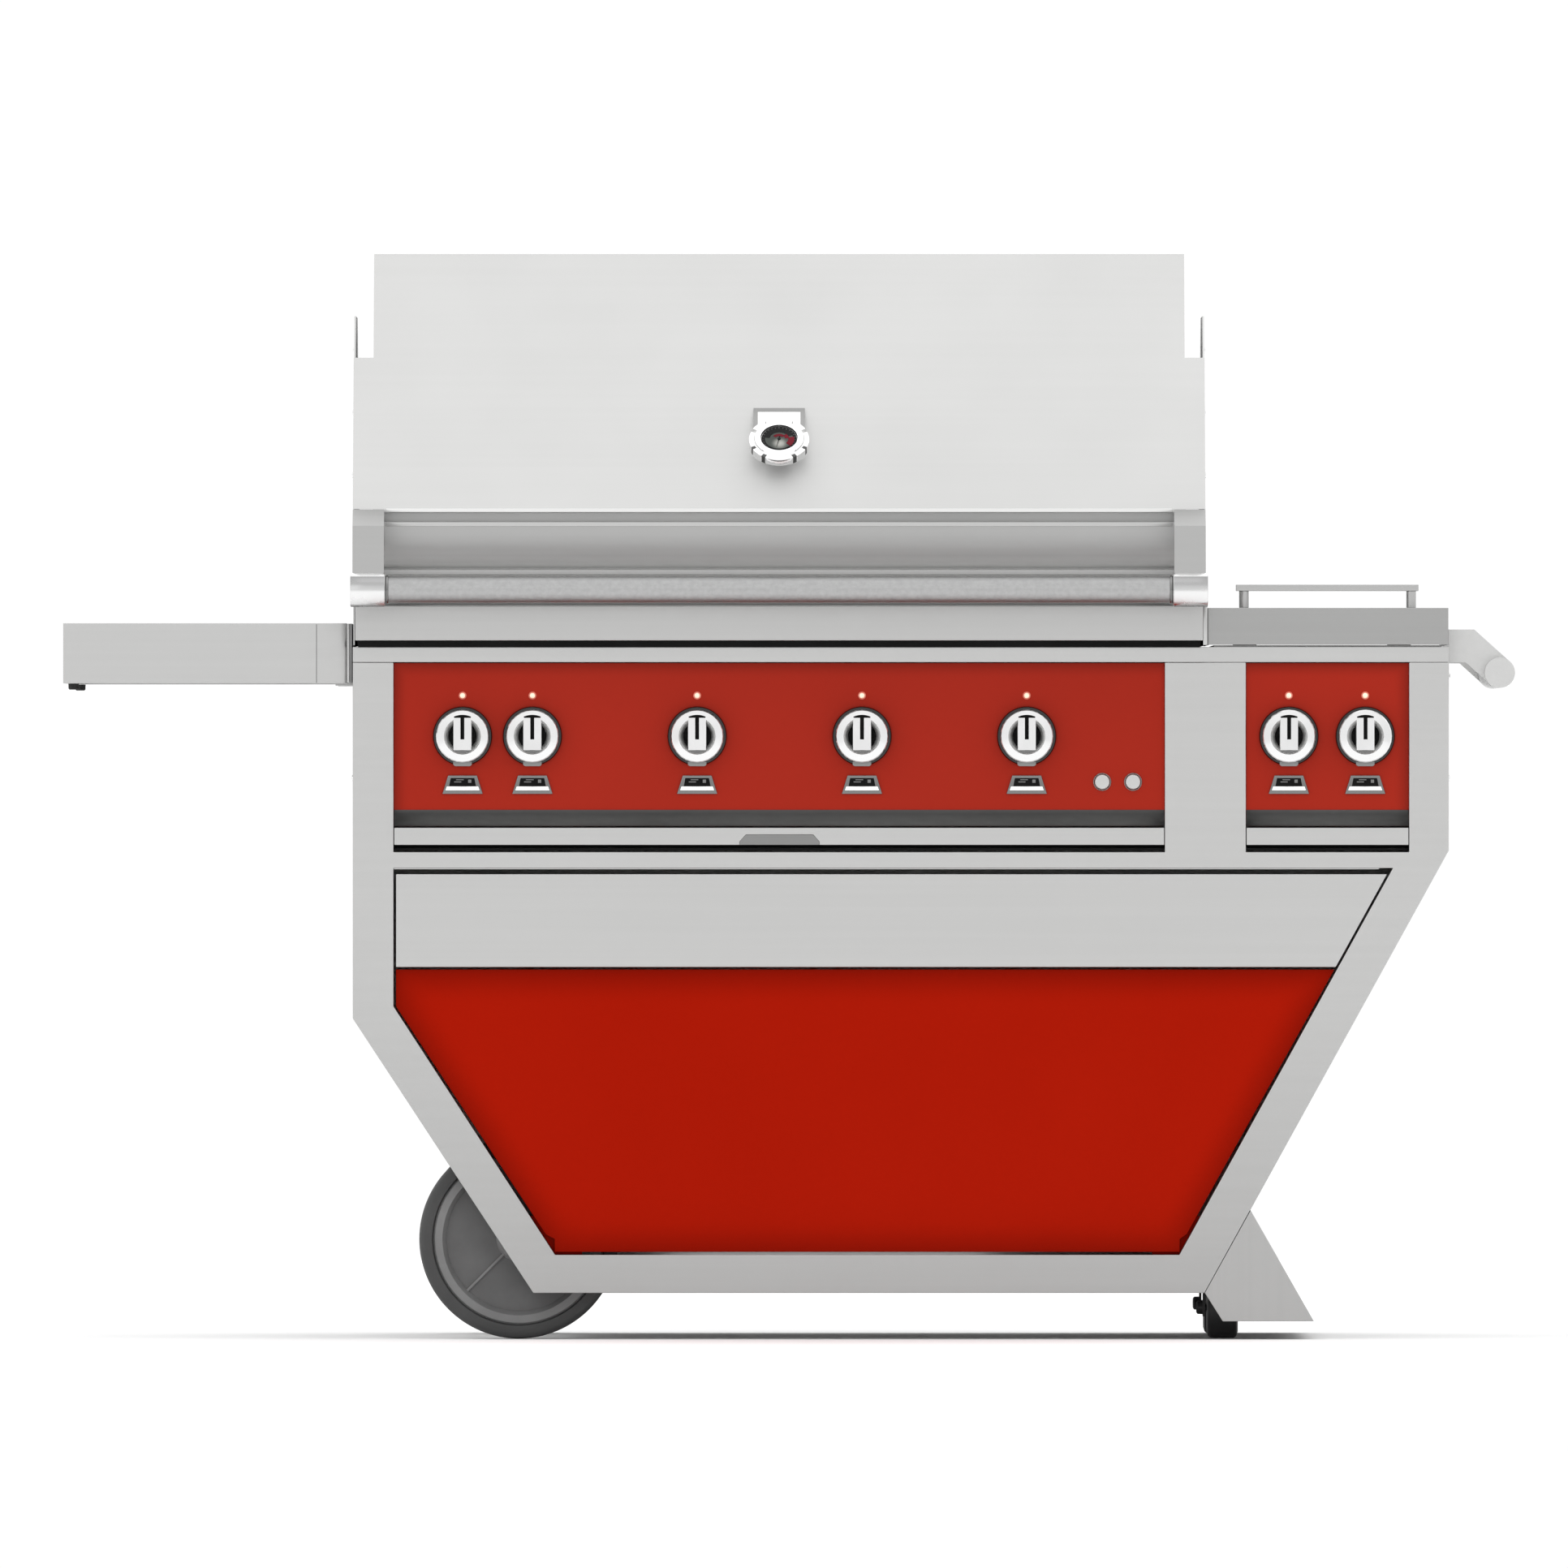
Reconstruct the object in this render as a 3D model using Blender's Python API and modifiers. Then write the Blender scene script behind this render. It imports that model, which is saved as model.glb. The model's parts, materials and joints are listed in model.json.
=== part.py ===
"""A gas barbecue grill on a cart: 42 inch head, side burner, fold-down shelf, drawer, drip trays and casters.

Metres, +Z up, front towards -Y. The origin is on the floor, under the middle of the whole grill.
"""

import math

import bmesh
import bpy
from mathutils import Matrix, Vector

# Touching pieces keep this much air between their meshes.
AIR = 0.0003

# Depths, from the front of the grill to its back.
CART_FRONT = -0.290
CART_BACK = 0.380
FRAME_DEPTH = 0.020
REAR_SHEET = 0.002
REAR_FACE = CART_BACK - 0.003
INSIDE_FRONT = CART_FRONT + FRAME_DEPTH + AIR
INSIDE_BACK = REAR_FACE - REAR_SHEET - AIR
PANEL_FACE = -0.286

# Heights.
FRAME_TOP = 0.8447
DECK_BOTTOM = 0.845
DECK_TOP = 0.864
RAIL_BOTTOM = 0.872
RAIL_TOP = 0.915
MID_RAIL_TOP = 0.608
MID_RAIL_BOTTOM = 0.588
FRAME_SILL = 0.1054
FRAME_BOTTOM = 0.0577

# Cart widths. The right side leans out from the foot to the side control panel.
CART_LEFT = -0.5448
CART_RIGHT = 0.8231
LEFT_KNEE = 0.4002
RIGHT_KNEE = 0.6099
LEFT_TOE = -0.3196
RIGHT_TOE = 0.5182
OPENING_LEFT = -0.4939
OPENING_RIGHT = 0.7735
POST_LEFT = 0.4686
POST_RIGHT = 0.5699
SILL_LEFT = -0.2923
SILL_RIGHT = 0.4868
INNER_LEFT_KNEE = 0.4154
SHEET = 0.002

# Head: everything above the deck on the left, symmetric about HEAD_X.
HEAD_X = -0.0127
HEAD_HALF = 0.529
EAR_HALF = 0.5319
HOOD_HALF = 0.507
HOOD_INNER_HALF = 0.504
HOOD_TOP = 1.3565
HOOD_PANEL_BOTTOM = 1.036
HOOD_PANEL_FRONT = -0.302
HOOD_LEAN = math.tan(math.radians(30))
EAR_TOP = 1.226
EAR_BACK = 0.0139
HOOD_PIVOT = (HEAD_X, 0.318, 0.985)

# Hood handle.
HANDLE_Y = -0.359
HANDLE_Z = 0.935
HANDLE_RADIUS = 0.0165
CAP_RADIUS = 0.021
CAP_INNER = 0.4913
CAP_OUTER = 0.5339

# Controls.
KNOB_Z = 0.7527
KNOB_X = {
    "rotisserie": -0.4078,
    "burner_1": -0.3206,
    "burner_2": -0.1150,
    "burner_3": 0.0907,
    "burner_4": 0.2963,
    "side_front": 0.6235,
    "side_rear": 0.7188,
}
MAIN_BURNERS = ("burner_1", "burner_2", "burner_3", "burner_4")
BUTTON_X = {"ignition": 0.3905, "light": 0.4290}
BUTTON_Z = 0.6956
STEM_RADIUS = 0.004
STEM_END = -0.236

# Firebox.
FIREBOX_FRONT = -0.185
FIREBOX_BACK = 0.290
FIREBOX_HALF = 0.500
FIREBOX_WALL = 0.0025

# Side burner.
SIDE_BURNER_X = 0.6726
SIDE_BURNER_Y = (-0.070, 0.170)
LID_LEFT = 0.5225
LID_RIGHT = 0.8225
LID_PIVOT = (SIDE_BURNER_X, 0.354, 0.900)

# Shelf.
SHELF_PIVOT = (-0.560, 0.0, 0.826)
SHELF_BOTTOM = 0.8186
SHELF_TOP = 0.8936
SHELF_HINGE_Y = (-0.120, 0.200)

# Door, wheels and casters.
DOOR_PIVOT = (0.0, -0.279, 0.112)
WHEEL_X = -0.3379
WHEEL_RADIUS = 0.1245
WHEEL_HALF_WIDTH = 0.022
WHEEL_Y = (-0.214, 0.344)
AXLE_RADIUS = 0.008
CASTER_X = 0.5416
CASTER_Y = (-0.172, 0.290)
CASTER_RADIUS = 0.038
CASTER_TRAIL = 0.025
CASTER_PLATE_BOTTOM = 0.096

# Local axes of an outline drawn across X, Y or Z: its two directions, then the way that it is thickened.
OUTLINE_AXES = {
    "X": ((0, 1, 0), (0, 0, 1), (1, 0, 0)),
    "Y": ((1, 0, 0), (0, 0, 1), (0, -1, 0)),
    "Z": ((1, 0, 0), (0, 1, 0), (0, 0, 1)),
}


def clear_scene():
    for obj in list(bpy.data.objects):
        bpy.data.objects.remove(obj)


def new_collection(name):
    group = bpy.data.collections.new(name)
    bpy.context.scene.collection.children.link(group)
    return group


def new_material(name, colour, roughness, metallic):
    finish = bpy.data.materials.new(name)
    finish.use_nodes = True
    shader = finish.node_tree.nodes["Principled BSDF"]
    shader.inputs["Base Color"].default_value = (*colour, 1)
    shader.inputs["Roughness"].default_value = roughness
    shader.inputs["Metallic"].default_value = metallic
    return finish


clear_scene()
PARTS = new_collection("gas_barbecue_grill")
CUTTERS = new_collection("cutters")
STEEL = new_material("brushed_steel", (0.62, 0.62, 0.61), 0.32, 1)
INNER_STEEL = new_material("inner_steel", (0.42, 0.42, 0.42), 0.45, 1)
CHROME = new_material("chrome", (0.80, 0.80, 0.80), 0.08, 1)
RED = new_material("red_enamel", (0.42, 0.020, 0.010), 0.30, 0)
CAST = new_material("cast_iron", (0.035, 0.035, 0.035), 0.65, 0.4)
BRASS = new_material("brass", (0.62, 0.44, 0.16), 0.35, 1)
RUBBER = new_material("rubber", (0.05, 0.05, 0.05), 0.80, 0)
GREY_BUTTON = new_material("grey_button", (0.55, 0.55, 0.56), 0.40, 0.5)


# Modelling helpers. Every shape is a closed mesh in world coordinates.


def mesh_object(name, bm, finish):
    """A new object in the parts collection, from a bmesh that is freed."""
    bmesh.ops.recalc_face_normals(bm, faces=bm.faces)
    mesh = bpy.data.meshes.new(name)
    bm.to_mesh(mesh)
    bm.free()
    mesh.materials.append(finish)
    obj = bpy.data.objects.new(name, mesh)
    PARTS.objects.link(obj)
    return obj


def block(name, x, y, z, finish=STEEL):
    """A box between three pairs of coordinates."""
    bm = bmesh.new()
    bmesh.ops.create_cube(bm, size=1)
    size = Vector((x[1] - x[0], y[1] - y[0], z[1] - z[0]))
    centre = Vector((x[0] + x[1], y[0] + y[1], z[0] + z[1])) / 2
    bmesh.ops.scale(bm, vec=size, verts=bm.verts)
    bmesh.ops.translate(bm, vec=centre, verts=bm.verts)
    return mesh_object(name, bm, finish)


def round_off(obj, degrees=35):
    """Smooth shading, with the edges sharper than this angle left sharp."""
    obj.data.shade_smooth()
    obj.data.set_sharp_from_angle(angle=math.radians(degrees))
    return obj


def rod(name, start, end, radius, finish=STEEL, sides=16):
    """A round bar from start to end."""
    start = Vector(start)
    run = Vector(end) - start
    bm = bmesh.new()
    bmesh.ops.create_cone(
        bm, cap_ends=True, segments=sides, radius1=radius, radius2=radius, depth=run.length
    )
    turn = run.to_track_quat("Z", "Y").to_matrix().to_4x4()
    bmesh.ops.transform(bm, matrix=Matrix.Translation(start + run / 2) @ turn, verts=bm.verts)
    return round_off(mesh_object(name, bm, finish))


def outline_frame(axis, middle):
    """The matrix that lays an outline across an axis, at this place along it."""
    u, v, w = OUTLINE_AXES[axis]
    frame = Matrix((u, v, w)).transposed().to_4x4()
    offset = middle if axis != "Y" else -middle
    return frame @ Matrix.Translation((0, 0, offset))


def slab(name, outline, axis, span, finish=STEEL, holes=()):
    """A flat outline, with holes, thickened between two places along an axis."""
    curve = bpy.data.curves.new(name, "CURVE")
    curve.dimensions = "2D"
    curve.fill_mode = "BOTH"
    curve.extrude = (span[1] - span[0]) / 2
    for ring in (outline, *holes):
        spline = curve.splines.new("POLY")
        spline.points.add(len(ring) - 1)
        for point, (u, v) in zip(spline.points, ring):
            point.co = (u, v, 0, 1)
        spline.use_cyclic_u = True
    drawn = bpy.data.objects.new(name + "_outline", curve)
    PARTS.objects.link(drawn)
    drawn.matrix_world = outline_frame(axis, (span[0] + span[1]) / 2)
    bpy.context.view_layer.update()
    evaluated = drawn.evaluated_get(bpy.context.evaluated_depsgraph_get())
    mesh = bpy.data.meshes.new_from_object(evaluated)
    bm = bmesh.new()
    bm.from_mesh(mesh)
    bmesh.ops.transform(bm, matrix=drawn.matrix_world, verts=bm.verts)
    bmesh.ops.remove_doubles(bm, verts=bm.verts, dist=1e-6)
    bpy.data.objects.remove(drawn)
    bpy.data.curves.remove(curve)
    bpy.data.meshes.remove(mesh)
    return mesh_object(name, bm, finish)


def sheet(name, path, axis, span, finish=STEEL, thickness=SHEET, side=1):
    """Sheet metal folded along a path of points and running between two places along an axis."""
    bm = bmesh.new()
    frame = outline_frame(axis, span[0])
    along = Vector(OUTLINE_AXES[axis][2])
    if axis == "Y":
        along = -along
    corners = [bm.verts.new(frame @ Vector((u, v, 0))) for u, v in path]
    edges = [bm.edges.new(pair) for pair in zip(corners, corners[1:])]
    made = bmesh.ops.extrude_edge_only(bm, edges=edges)["geom"]
    moved = [item for item in made if isinstance(item, bmesh.types.BMVert)]
    bmesh.ops.translate(bm, vec=along * (span[1] - span[0]), verts=moved)
    mesh = bpy.data.meshes.new(name)
    bm.to_mesh(mesh)
    bm.free()
    mesh.materials.append(finish)
    obj = bpy.data.objects.new(name, mesh)
    PARTS.objects.link(obj)
    solidify = obj.modifiers.new("thickness", "SOLIDIFY")
    solidify.thickness = thickness
    solidify.offset = side
    solidify.use_even_offset = True
    return obj


def turned(name, profile, place, axis, finish=STEEL, steps=24, closed=False):
    """A lathe-turned piece. The profile is (radius, height) down the outer side, height along the axis."""
    mesh = bpy.data.meshes.new(name)
    points = [(radius, 0, height) for radius, height in profile]
    edges = [(i, i + 1) for i in range(len(points) - 1)]
    if closed:
        edges.append((len(points) - 1, 0))
    mesh.from_pydata(points, edges, [])
    lathe = bpy.data.objects.new(name + "_lathe", mesh)
    PARTS.objects.link(lathe)
    screw = lathe.modifiers.new("turn", "SCREW")
    screw.steps = steps
    screw.render_steps = steps
    screw.use_merge_vertices = True
    screw.merge_threshold = 0.00002
    turn = Vector(axis).to_track_quat("Z", "Y").to_matrix().to_4x4()
    lathe.matrix_world = Matrix.Translation(place) @ turn
    bpy.context.view_layer.update()
    evaluated = lathe.evaluated_get(bpy.context.evaluated_depsgraph_get())
    bm = bmesh.new()
    bm.from_mesh(evaluated.to_mesh())
    bmesh.ops.transform(bm, matrix=lathe.matrix_world, verts=bm.verts)
    bmesh.ops.remove_doubles(bm, verts=bm.verts, dist=1e-6)
    evaluated.to_mesh_clear()
    bpy.data.objects.remove(lathe)
    bpy.data.meshes.remove(mesh)
    return round_off(mesh_object(name, bm, finish))


def combine(obj, other, operation):
    """Cuts or joins another object, which becomes a hidden helper."""
    PARTS.objects.unlink(other)
    CUTTERS.objects.link(other)
    other.hide_render = True
    other.display_type = "WIRE"
    boolean = obj.modifiers.new(operation.lower(), "BOOLEAN")
    boolean.operation = operation
    boolean.object = other


def cut(obj, *cutters):
    for cutter in cutters:
        combine(obj, cutter, "DIFFERENCE")
    return obj


def join(obj, *others):
    for other in others:
        combine(obj, other, "UNION")
    return obj


def on_axis(name, place, *pieces):
    """Parents moving pieces to an empty that stands on their joint's axis."""
    axis = bpy.data.objects.new(name, None)
    axis.empty_display_size = 0.05
    axis.location = place
    PARTS.objects.link(axis)
    for piece in pieces:
        piece.parent = axis
        piece.matrix_parent_inverse = Matrix.Translation(-Vector(place))
    return axis


def head_span(half):
    """The two sides of something centred on the head."""
    return (HEAD_X - half, HEAD_X + half)


def rectangle(x, y):
    return [(x[0], y[0]), (x[1], y[0]), (x[1], y[1]), (x[0], y[1])]


def slots(x, y, count, slot_width):
    """Evenly spaced slots along the second direction, across a span of the first."""
    pitch = (x[1] - x[0]) / count
    for i in range(count):
        middle = x[0] + pitch * (i + 0.5)
        yield rectangle((middle - slot_width / 2, middle + slot_width / 2), y)


def left_lean(z):
    """X of the cart's leaning left side at a height below the knee."""
    return LEFT_TOE + (CART_LEFT - LEFT_TOE) * (z - FRAME_BOTTOM) / (LEFT_KNEE - FRAME_BOTTOM)


def right_lean(z):
    """X of the cart's leaning right side at a height below the knee."""
    return RIGHT_TOE + (CART_RIGHT - RIGHT_TOE) * (z - FRAME_BOTTOM) / (RIGHT_KNEE - FRAME_BOTTOM)


def opening_right(z):
    """X of the right edge of the front frame's lower opening."""
    return SILL_RIGHT + (right_lean(z) - right_lean(FRAME_SILL)) * 0.9998


def opening_left(z):
    """X of the left edge of the front frame's lower opening."""
    if z >= INNER_LEFT_KNEE:
        return OPENING_LEFT
    return SILL_LEFT + (OPENING_LEFT - SILL_LEFT) * (z - FRAME_SILL) / (INNER_LEFT_KNEE - FRAME_SILL)


# Cart.


def front_frame():
    outline = [
        (CART_LEFT, FRAME_TOP),
        (CART_LEFT, LEFT_KNEE),
        (LEFT_TOE, FRAME_BOTTOM),
        (RIGHT_TOE, FRAME_BOTTOM),
        (CART_RIGHT, RIGHT_KNEE),
        (CART_RIGHT, FRAME_TOP),
        (OPENING_RIGHT, FRAME_TOP),
        (OPENING_RIGHT, MID_RAIL_TOP),
        (POST_RIGHT, MID_RAIL_TOP),
        (POST_RIGHT, FRAME_TOP),
        (POST_LEFT, FRAME_TOP),
        (POST_LEFT, MID_RAIL_TOP),
        (OPENING_LEFT, MID_RAIL_TOP),
        (OPENING_LEFT, FRAME_TOP),
    ]
    opening = [
        (OPENING_LEFT, MID_RAIL_BOTTOM),
        (OPENING_LEFT, INNER_LEFT_KNEE),
        (SILL_LEFT, FRAME_SILL),
        (SILL_RIGHT, FRAME_SILL),
        (opening_right(MID_RAIL_BOTTOM), MID_RAIL_BOTTOM),
    ]
    slab("front_frame", outline, "Y", (CART_FRONT, CART_FRONT + FRAME_DEPTH), holes=[opening])


def wheel_wells(name):
    """Cutters that clear the two large wheels, front and back."""
    for end, y in zip(("front", "rear"), WHEEL_Y):
        reach = WHEEL_HALF_WIDTH + 0.006
        yield block(name + "_well_" + end, (-0.480, -0.205), (y - reach, y + reach), (-0.01, 0.262))


def cart_panels():
    inside = (INSIDE_FRONT, INSIDE_BACK)
    left_path = [(CART_LEFT, FRAME_TOP), (CART_LEFT, LEFT_KNEE), (LEFT_TOE, FRAME_BOTTOM)]
    left = sheet("left_side_panel", left_path, "Y", inside, side=-1)
    cut(left, *wheel_wells("left_side_panel"))
    lean_end = 0.106
    right_path = [(CART_RIGHT, FRAME_TOP), (CART_RIGHT, RIGHT_KNEE), (right_lean(lean_end), lean_end)]
    sheet("right_side_panel", right_path, "Y", inside, side=1)

    base_z = (0.103, 0.105)
    base_x = (left_lean(base_z[0]) + 0.0034, right_lean(base_z[0]) - 0.0030)
    base = block("base_panel", base_x, inside, base_z)
    for end, y in (("front", (-0.180, -0.176)), ("rear", (0.306, 0.310))):
        tab_x = (WHEEL_X - 0.003, WHEEL_X + 0.022)
        tab = block("axle_tab_" + end, tab_x, y, (0.104, 0.148))
        upper = block("axle_tab_upper_" + end, (WHEEL_X - 0.014, WHEEL_X + 0.016), y, (0.116, 0.148))
        join(base, tab, upper)
    cut(base, *wheel_wells("base_panel"))
    bore = rod("axle_bore", (WHEEL_X, -0.19, WHEEL_RADIUS), (WHEEL_X, 0.315, WHEEL_RADIUS), 0.0085)
    cut(base, bore)

    outline = [
        (CART_LEFT, FRAME_TOP),
        (CART_LEFT, LEFT_KNEE),
        (LEFT_TOE, FRAME_BOTTOM),
        (RIGHT_TOE, FRAME_BOTTOM),
        (CART_RIGHT, RIGHT_KNEE),
        (CART_RIGHT, FRAME_TOP),
    ]
    vents = list(slots((-0.40, 0.38), (0.70, 0.80), 10, 0.014))
    tank_window = rectangle((-0.15, 0.25), (0.22, 0.40))
    back = (REAR_FACE - REAR_SHEET, REAR_FACE)
    slab("rear_panel", outline, "Y", back, holes=[*vents, tank_window])


def top_deck():
    x = (CART_LEFT, CART_RIGHT)
    deck = block("top_deck", x, (CART_FRONT, CART_BACK), (DECK_BOTTOM, DECK_TOP))
    fold_x = (x[0] + SHEET, x[1] - SHEET)
    fold_y = (CART_FRONT + SHEET, CART_BACK - SHEET)
    under = block("deck_underside", fold_x, fold_y, (DECK_BOTTOM - 0.01, DECK_TOP - SHEET))
    firebox_y = (FIREBOX_FRONT - 0.003, FIREBOX_BACK + 0.003)
    firebox_hole = block("deck_firebox_hole", head_span(FIREBOX_HALF + 0.003), firebox_y, (0.83, 0.88))
    pan_hole = block("deck_pan_hole", (0.547, 0.798), (-0.193, 0.293), (0.83, 0.88))
    cut(deck, under, firebox_hole, pan_hole)


def control_panel(name, x, knobs, buttons):
    path = [(-0.258, 0.8440), (PANEL_FACE, 0.8440), (PANEL_FACE, 0.6605), (-0.262, 0.6405)]
    panel = sheet(name, path, "X", x, RED, side=1)
    for key in knobs:
        centre = (KNOB_X[key], PANEL_FACE, KNOB_Z)
        cut(panel, hole_along_y(name + "_hole_" + key, centre, STEM_RADIUS + 0.001))
    for key in buttons:
        centre = (BUTTON_X[key], PANEL_FACE, BUTTON_Z)
        cut(panel, hole_along_y(name + "_hole_" + key, centre, 0.0102))
    return panel


def hole_along_y(name, centre, radius, reach=0.01):
    x, y, z = centre
    return rod(name, (x, y - reach, z), (x, y + reach, z), radius)


def control_panels():
    main_x = (OPENING_LEFT + AIR, POST_LEFT - AIR)
    side_x = (POST_RIGHT + AIR, OPENING_RIGHT - AIR)
    control_panel("control_panel_main", main_x, ("rotisserie", *MAIN_BURNERS), BUTTON_X)
    control_panel("control_panel_side", side_x, ("side_front", "side_rear"), ())


def knobs():
    """A knob is a chrome ring with a sunk floor, a grip bar across it, and the stem that turns the valve."""
    face, floor, stem_end = 0.0082, 0.0120, PANEL_FACE - STEM_END
    profile = [
        (0, floor),
        (0.0175, floor),
        (0.0218, 0.0250),
        (0.0232, 0.0262),
        (0.0318, 0.0250),
        (0.0330, 0.0236),
        (0.0330, face),
        (STEM_RADIUS, face),
        (STEM_RADIUS, stem_end),
        (0, stem_end),
    ]
    grip_half, slot_half = 0.0110, 0.0025
    for key, x in KNOB_X.items():
        name = "knob_" + key
        knob = turned(name, profile, (x, PANEL_FACE, KNOB_Z), (0, -1, 0), CHROME, steps=28)
        grip_y = (PANEL_FACE - 0.0340, PANEL_FACE - 0.0100)
        grip_z = (KNOB_Z - 0.0175, KNOB_Z + 0.0228)
        grip = block(name + "_grip", (x - grip_half, x + grip_half), grip_y, grip_z)
        join(knob, grip)
        slot_y = (PANEL_FACE - 0.0400, PANEL_FACE - 0.0280)
        pointer = (KNOB_Z - 0.0043, KNOB_Z + 0.0240)
        cut(knob, block(name + "_pointer", (x - slot_half, x + slot_half), slot_y, pointer))
        on_axis(name + "_axis", (x, PANEL_FACE, KNOB_Z), knob)


def buttons():
    profile = [(0, 0.0050), (0.0080, 0.0050), (0.0095, 0.0036), (0.0095, -0.0200), (0, -0.0200)]
    for key, x in BUTTON_X.items():
        name = "button_" + key
        place = (x, PANEL_FACE, BUTTON_Z)
        button = turned(name, profile, place, (0, -1, 0), GREY_BUTTON, steps=20)
        on_axis(name + "_axis", place, button)


def tray(name, front_x, pan_x, back, floor, rim, grip=None):
    """A pull-out tray: a front plate with an optional finger notch, and an open pan behind it."""
    wall = 0.002
    front = block(name, front_x, (CART_FRONT, CART_FRONT + wall), (0.617, 0.6383))
    pan = block(name + "_pan", pan_x, (CART_FRONT + 0.001, back), (floor, rim))
    inside_x = (pan_x[0] + wall, pan_x[1] - wall)
    inside = block(name + "_inside", inside_x, (CART_FRONT + wall, back - wall), (floor + wall, rim + 0.02))
    join(front, pan)
    cut(front, inside)
    if grip:
        middle, half = grip
        notch = [
            (middle - half, 0.600),
            (middle - half, 0.621),
            (middle - half + 0.008, 0.630),
            (middle + half - 0.008, 0.630),
            (middle + half, 0.621),
            (middle + half, 0.600),
        ]
        cut(front, slab(name + "_notch", notch, "Y", (CART_FRONT - 0.01, CART_FRONT + wall / 2)))
    return front


def trays_and_drawer():
    main = tray(
        "drip_tray",
        (OPENING_LEFT + 0.0008, POST_LEFT - 0.0008),
        (OPENING_LEFT + 0.012, POST_LEFT - 0.012),
        0.240,
        0.6178,
        0.634,
        grip=(-0.0122, 0.050),
    )
    on_axis("drip_tray_slide", (HEAD_X, CART_FRONT, 0.62), main)
    side = tray(
        "side_drip_tray",
        (POST_RIGHT + 0.0008, OPENING_RIGHT - 0.0008),
        (POST_RIGHT + 0.010, OPENING_RIGHT - 0.010),
        0.200,
        0.6178,
        0.634,
    )
    on_axis("side_drip_tray_slide", (SIDE_BURNER_X, CART_FRONT, 0.62), side)

    top, bottom, gap = 0.5805, 0.4645, 0.003
    plate = [
        (OPENING_LEFT + gap, bottom),
        (opening_right(bottom) - gap, bottom),
        (opening_right(top) - gap, top),
        (OPENING_LEFT + gap, top),
    ]
    drawer = slab("utility_drawer", plate, "Y", (CART_FRONT, CART_FRONT + 0.003))
    box_x, box_y, box_z = (-0.430, 0.640), (CART_FRONT + 0.002, 0.230), (0.474, 0.560)
    wall = 0.002
    body = block("drawer_box", box_x, box_y, box_z)
    inside_x = (box_x[0] + wall, box_x[1] - wall)
    inside = block("drawer_inside", inside_x, (CART_FRONT + 0.003, box_y[1] - wall), (box_z[0] + wall, 0.60))
    join(drawer, body)
    cut(drawer, inside)
    on_axis("utility_drawer_slide", (0.1, CART_FRONT, 0.52), drawer)


def door():
    """The lower door, hinged along its bottom edge, with chamfered lower corners that clear the frame."""
    top, bottom, gap, chamfer = 0.4615, 0.109, 0.003, 0.022
    outline = [
        (OPENING_LEFT + gap, top),
        (OPENING_LEFT + gap, INNER_LEFT_KNEE),
        (opening_left(bottom + chamfer) + gap * 1.6, bottom + chamfer),
        (SILL_LEFT - 0.0005, bottom + 0.016),
        (SILL_LEFT - 0.0005, bottom),
        (SILL_RIGHT + 0.0005, bottom),
        (SILL_RIGHT + 0.0005, bottom + 0.016),
        (opening_right(bottom + chamfer) - gap * 1.6, bottom + chamfer),
        (opening_right(top) - gap, top),
    ]
    y = DOOR_PIVOT[1]
    panel = slab("lower_door", outline, "Y", (y - 0.0035, y + 0.0035), RED)
    pressing = [
        (OPENING_LEFT + 0.020, top - 0.016),
        (OPENING_LEFT + 0.020, INNER_LEFT_KNEE),
        (SILL_LEFT + 0.015, bottom + 0.045),
        (SILL_RIGHT - 0.015, bottom + 0.045),
        (opening_right(top) - 0.030, top - 0.016),
    ]
    cut(panel, slab("door_pressing", pressing, "Y", (y - 0.0015, y + 0.010)))
    barrel_x = (SILL_LEFT + 0.03, SILL_RIGHT - 0.03)
    z = DOOR_PIVOT[2]
    barrel = block("door_barrel", barrel_x, (y - 0.001, y + 0.0035), (z - 0.003, z + 0.03), RED)
    pin_x = (SILL_LEFT + 0.001, SILL_RIGHT - 0.001)
    bore_x = (SILL_LEFT - 0.02, SILL_RIGHT + 0.02)
    join(panel, barrel)
    cut(panel, rod("door_bore", (bore_x[0], y, z), (bore_x[1], y, z), 0.0019, sides=12))
    on_axis("lower_door_axis", DOOR_PIVOT, panel)
    rod("door_hinge_pin", (pin_x[0], y, z), (pin_x[1], y, z), 0.0014, INNER_STEEL, sides=12)


def push_handle():
    tube_x, tube_z, tube_radius = 0.8872, 0.832, 0.019
    outline = [
        (CART_RIGHT + AIR, 0.845),
        (CART_RIGHT + AIR, 0.886),
        (0.8556, 0.886),
        (0.8995, 0.8465),
        (0.8760, 0.8170),
        (0.8450, 0.845),
    ]
    handle = rod("push_handle", (tube_x, -0.265, tube_z), (tube_x, 0.277, tube_z), tube_radius, sides=28)
    for end, y in (("front", -0.245), ("rear", 0.245)):
        join(handle, slab("push_handle_bracket_" + end, outline, "Y", (y, y + 0.012)))
    cut(handle, rod("push_handle_bore", (tube_x, -0.262, tube_z), (tube_x, 0.290, tube_z), 0.0165, sides=28))


def right_foot():
    outline = [
        (RIGHT_TOE + AIR, FRAME_BOTTOM),
        (0.5757, 0.1611),
        (0.6549, 0.0223),
        (0.5410, 0.0223),
    ]
    foot = slab("right_foot", outline, "Y", (CART_FRONT, CART_BACK))
    hollow = [(0.450, -0.007), (0.668, -0.007), (0.5731, 0.1596), (0.450, 0.1596)]
    cut(foot, slab("foot_hollow", hollow, "Y", (CART_FRONT + 0.003, CART_BACK - 0.003)))
    plate_z = (CASTER_PLATE_BOTTOM, CASTER_PLATE_BOTTOM + 0.004)
    join(foot, block("caster_plate", (0.500, 0.610), (INSIDE_FRONT + 0.001, INSIDE_BACK - 0.001), plate_z))


# Wheels.


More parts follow.
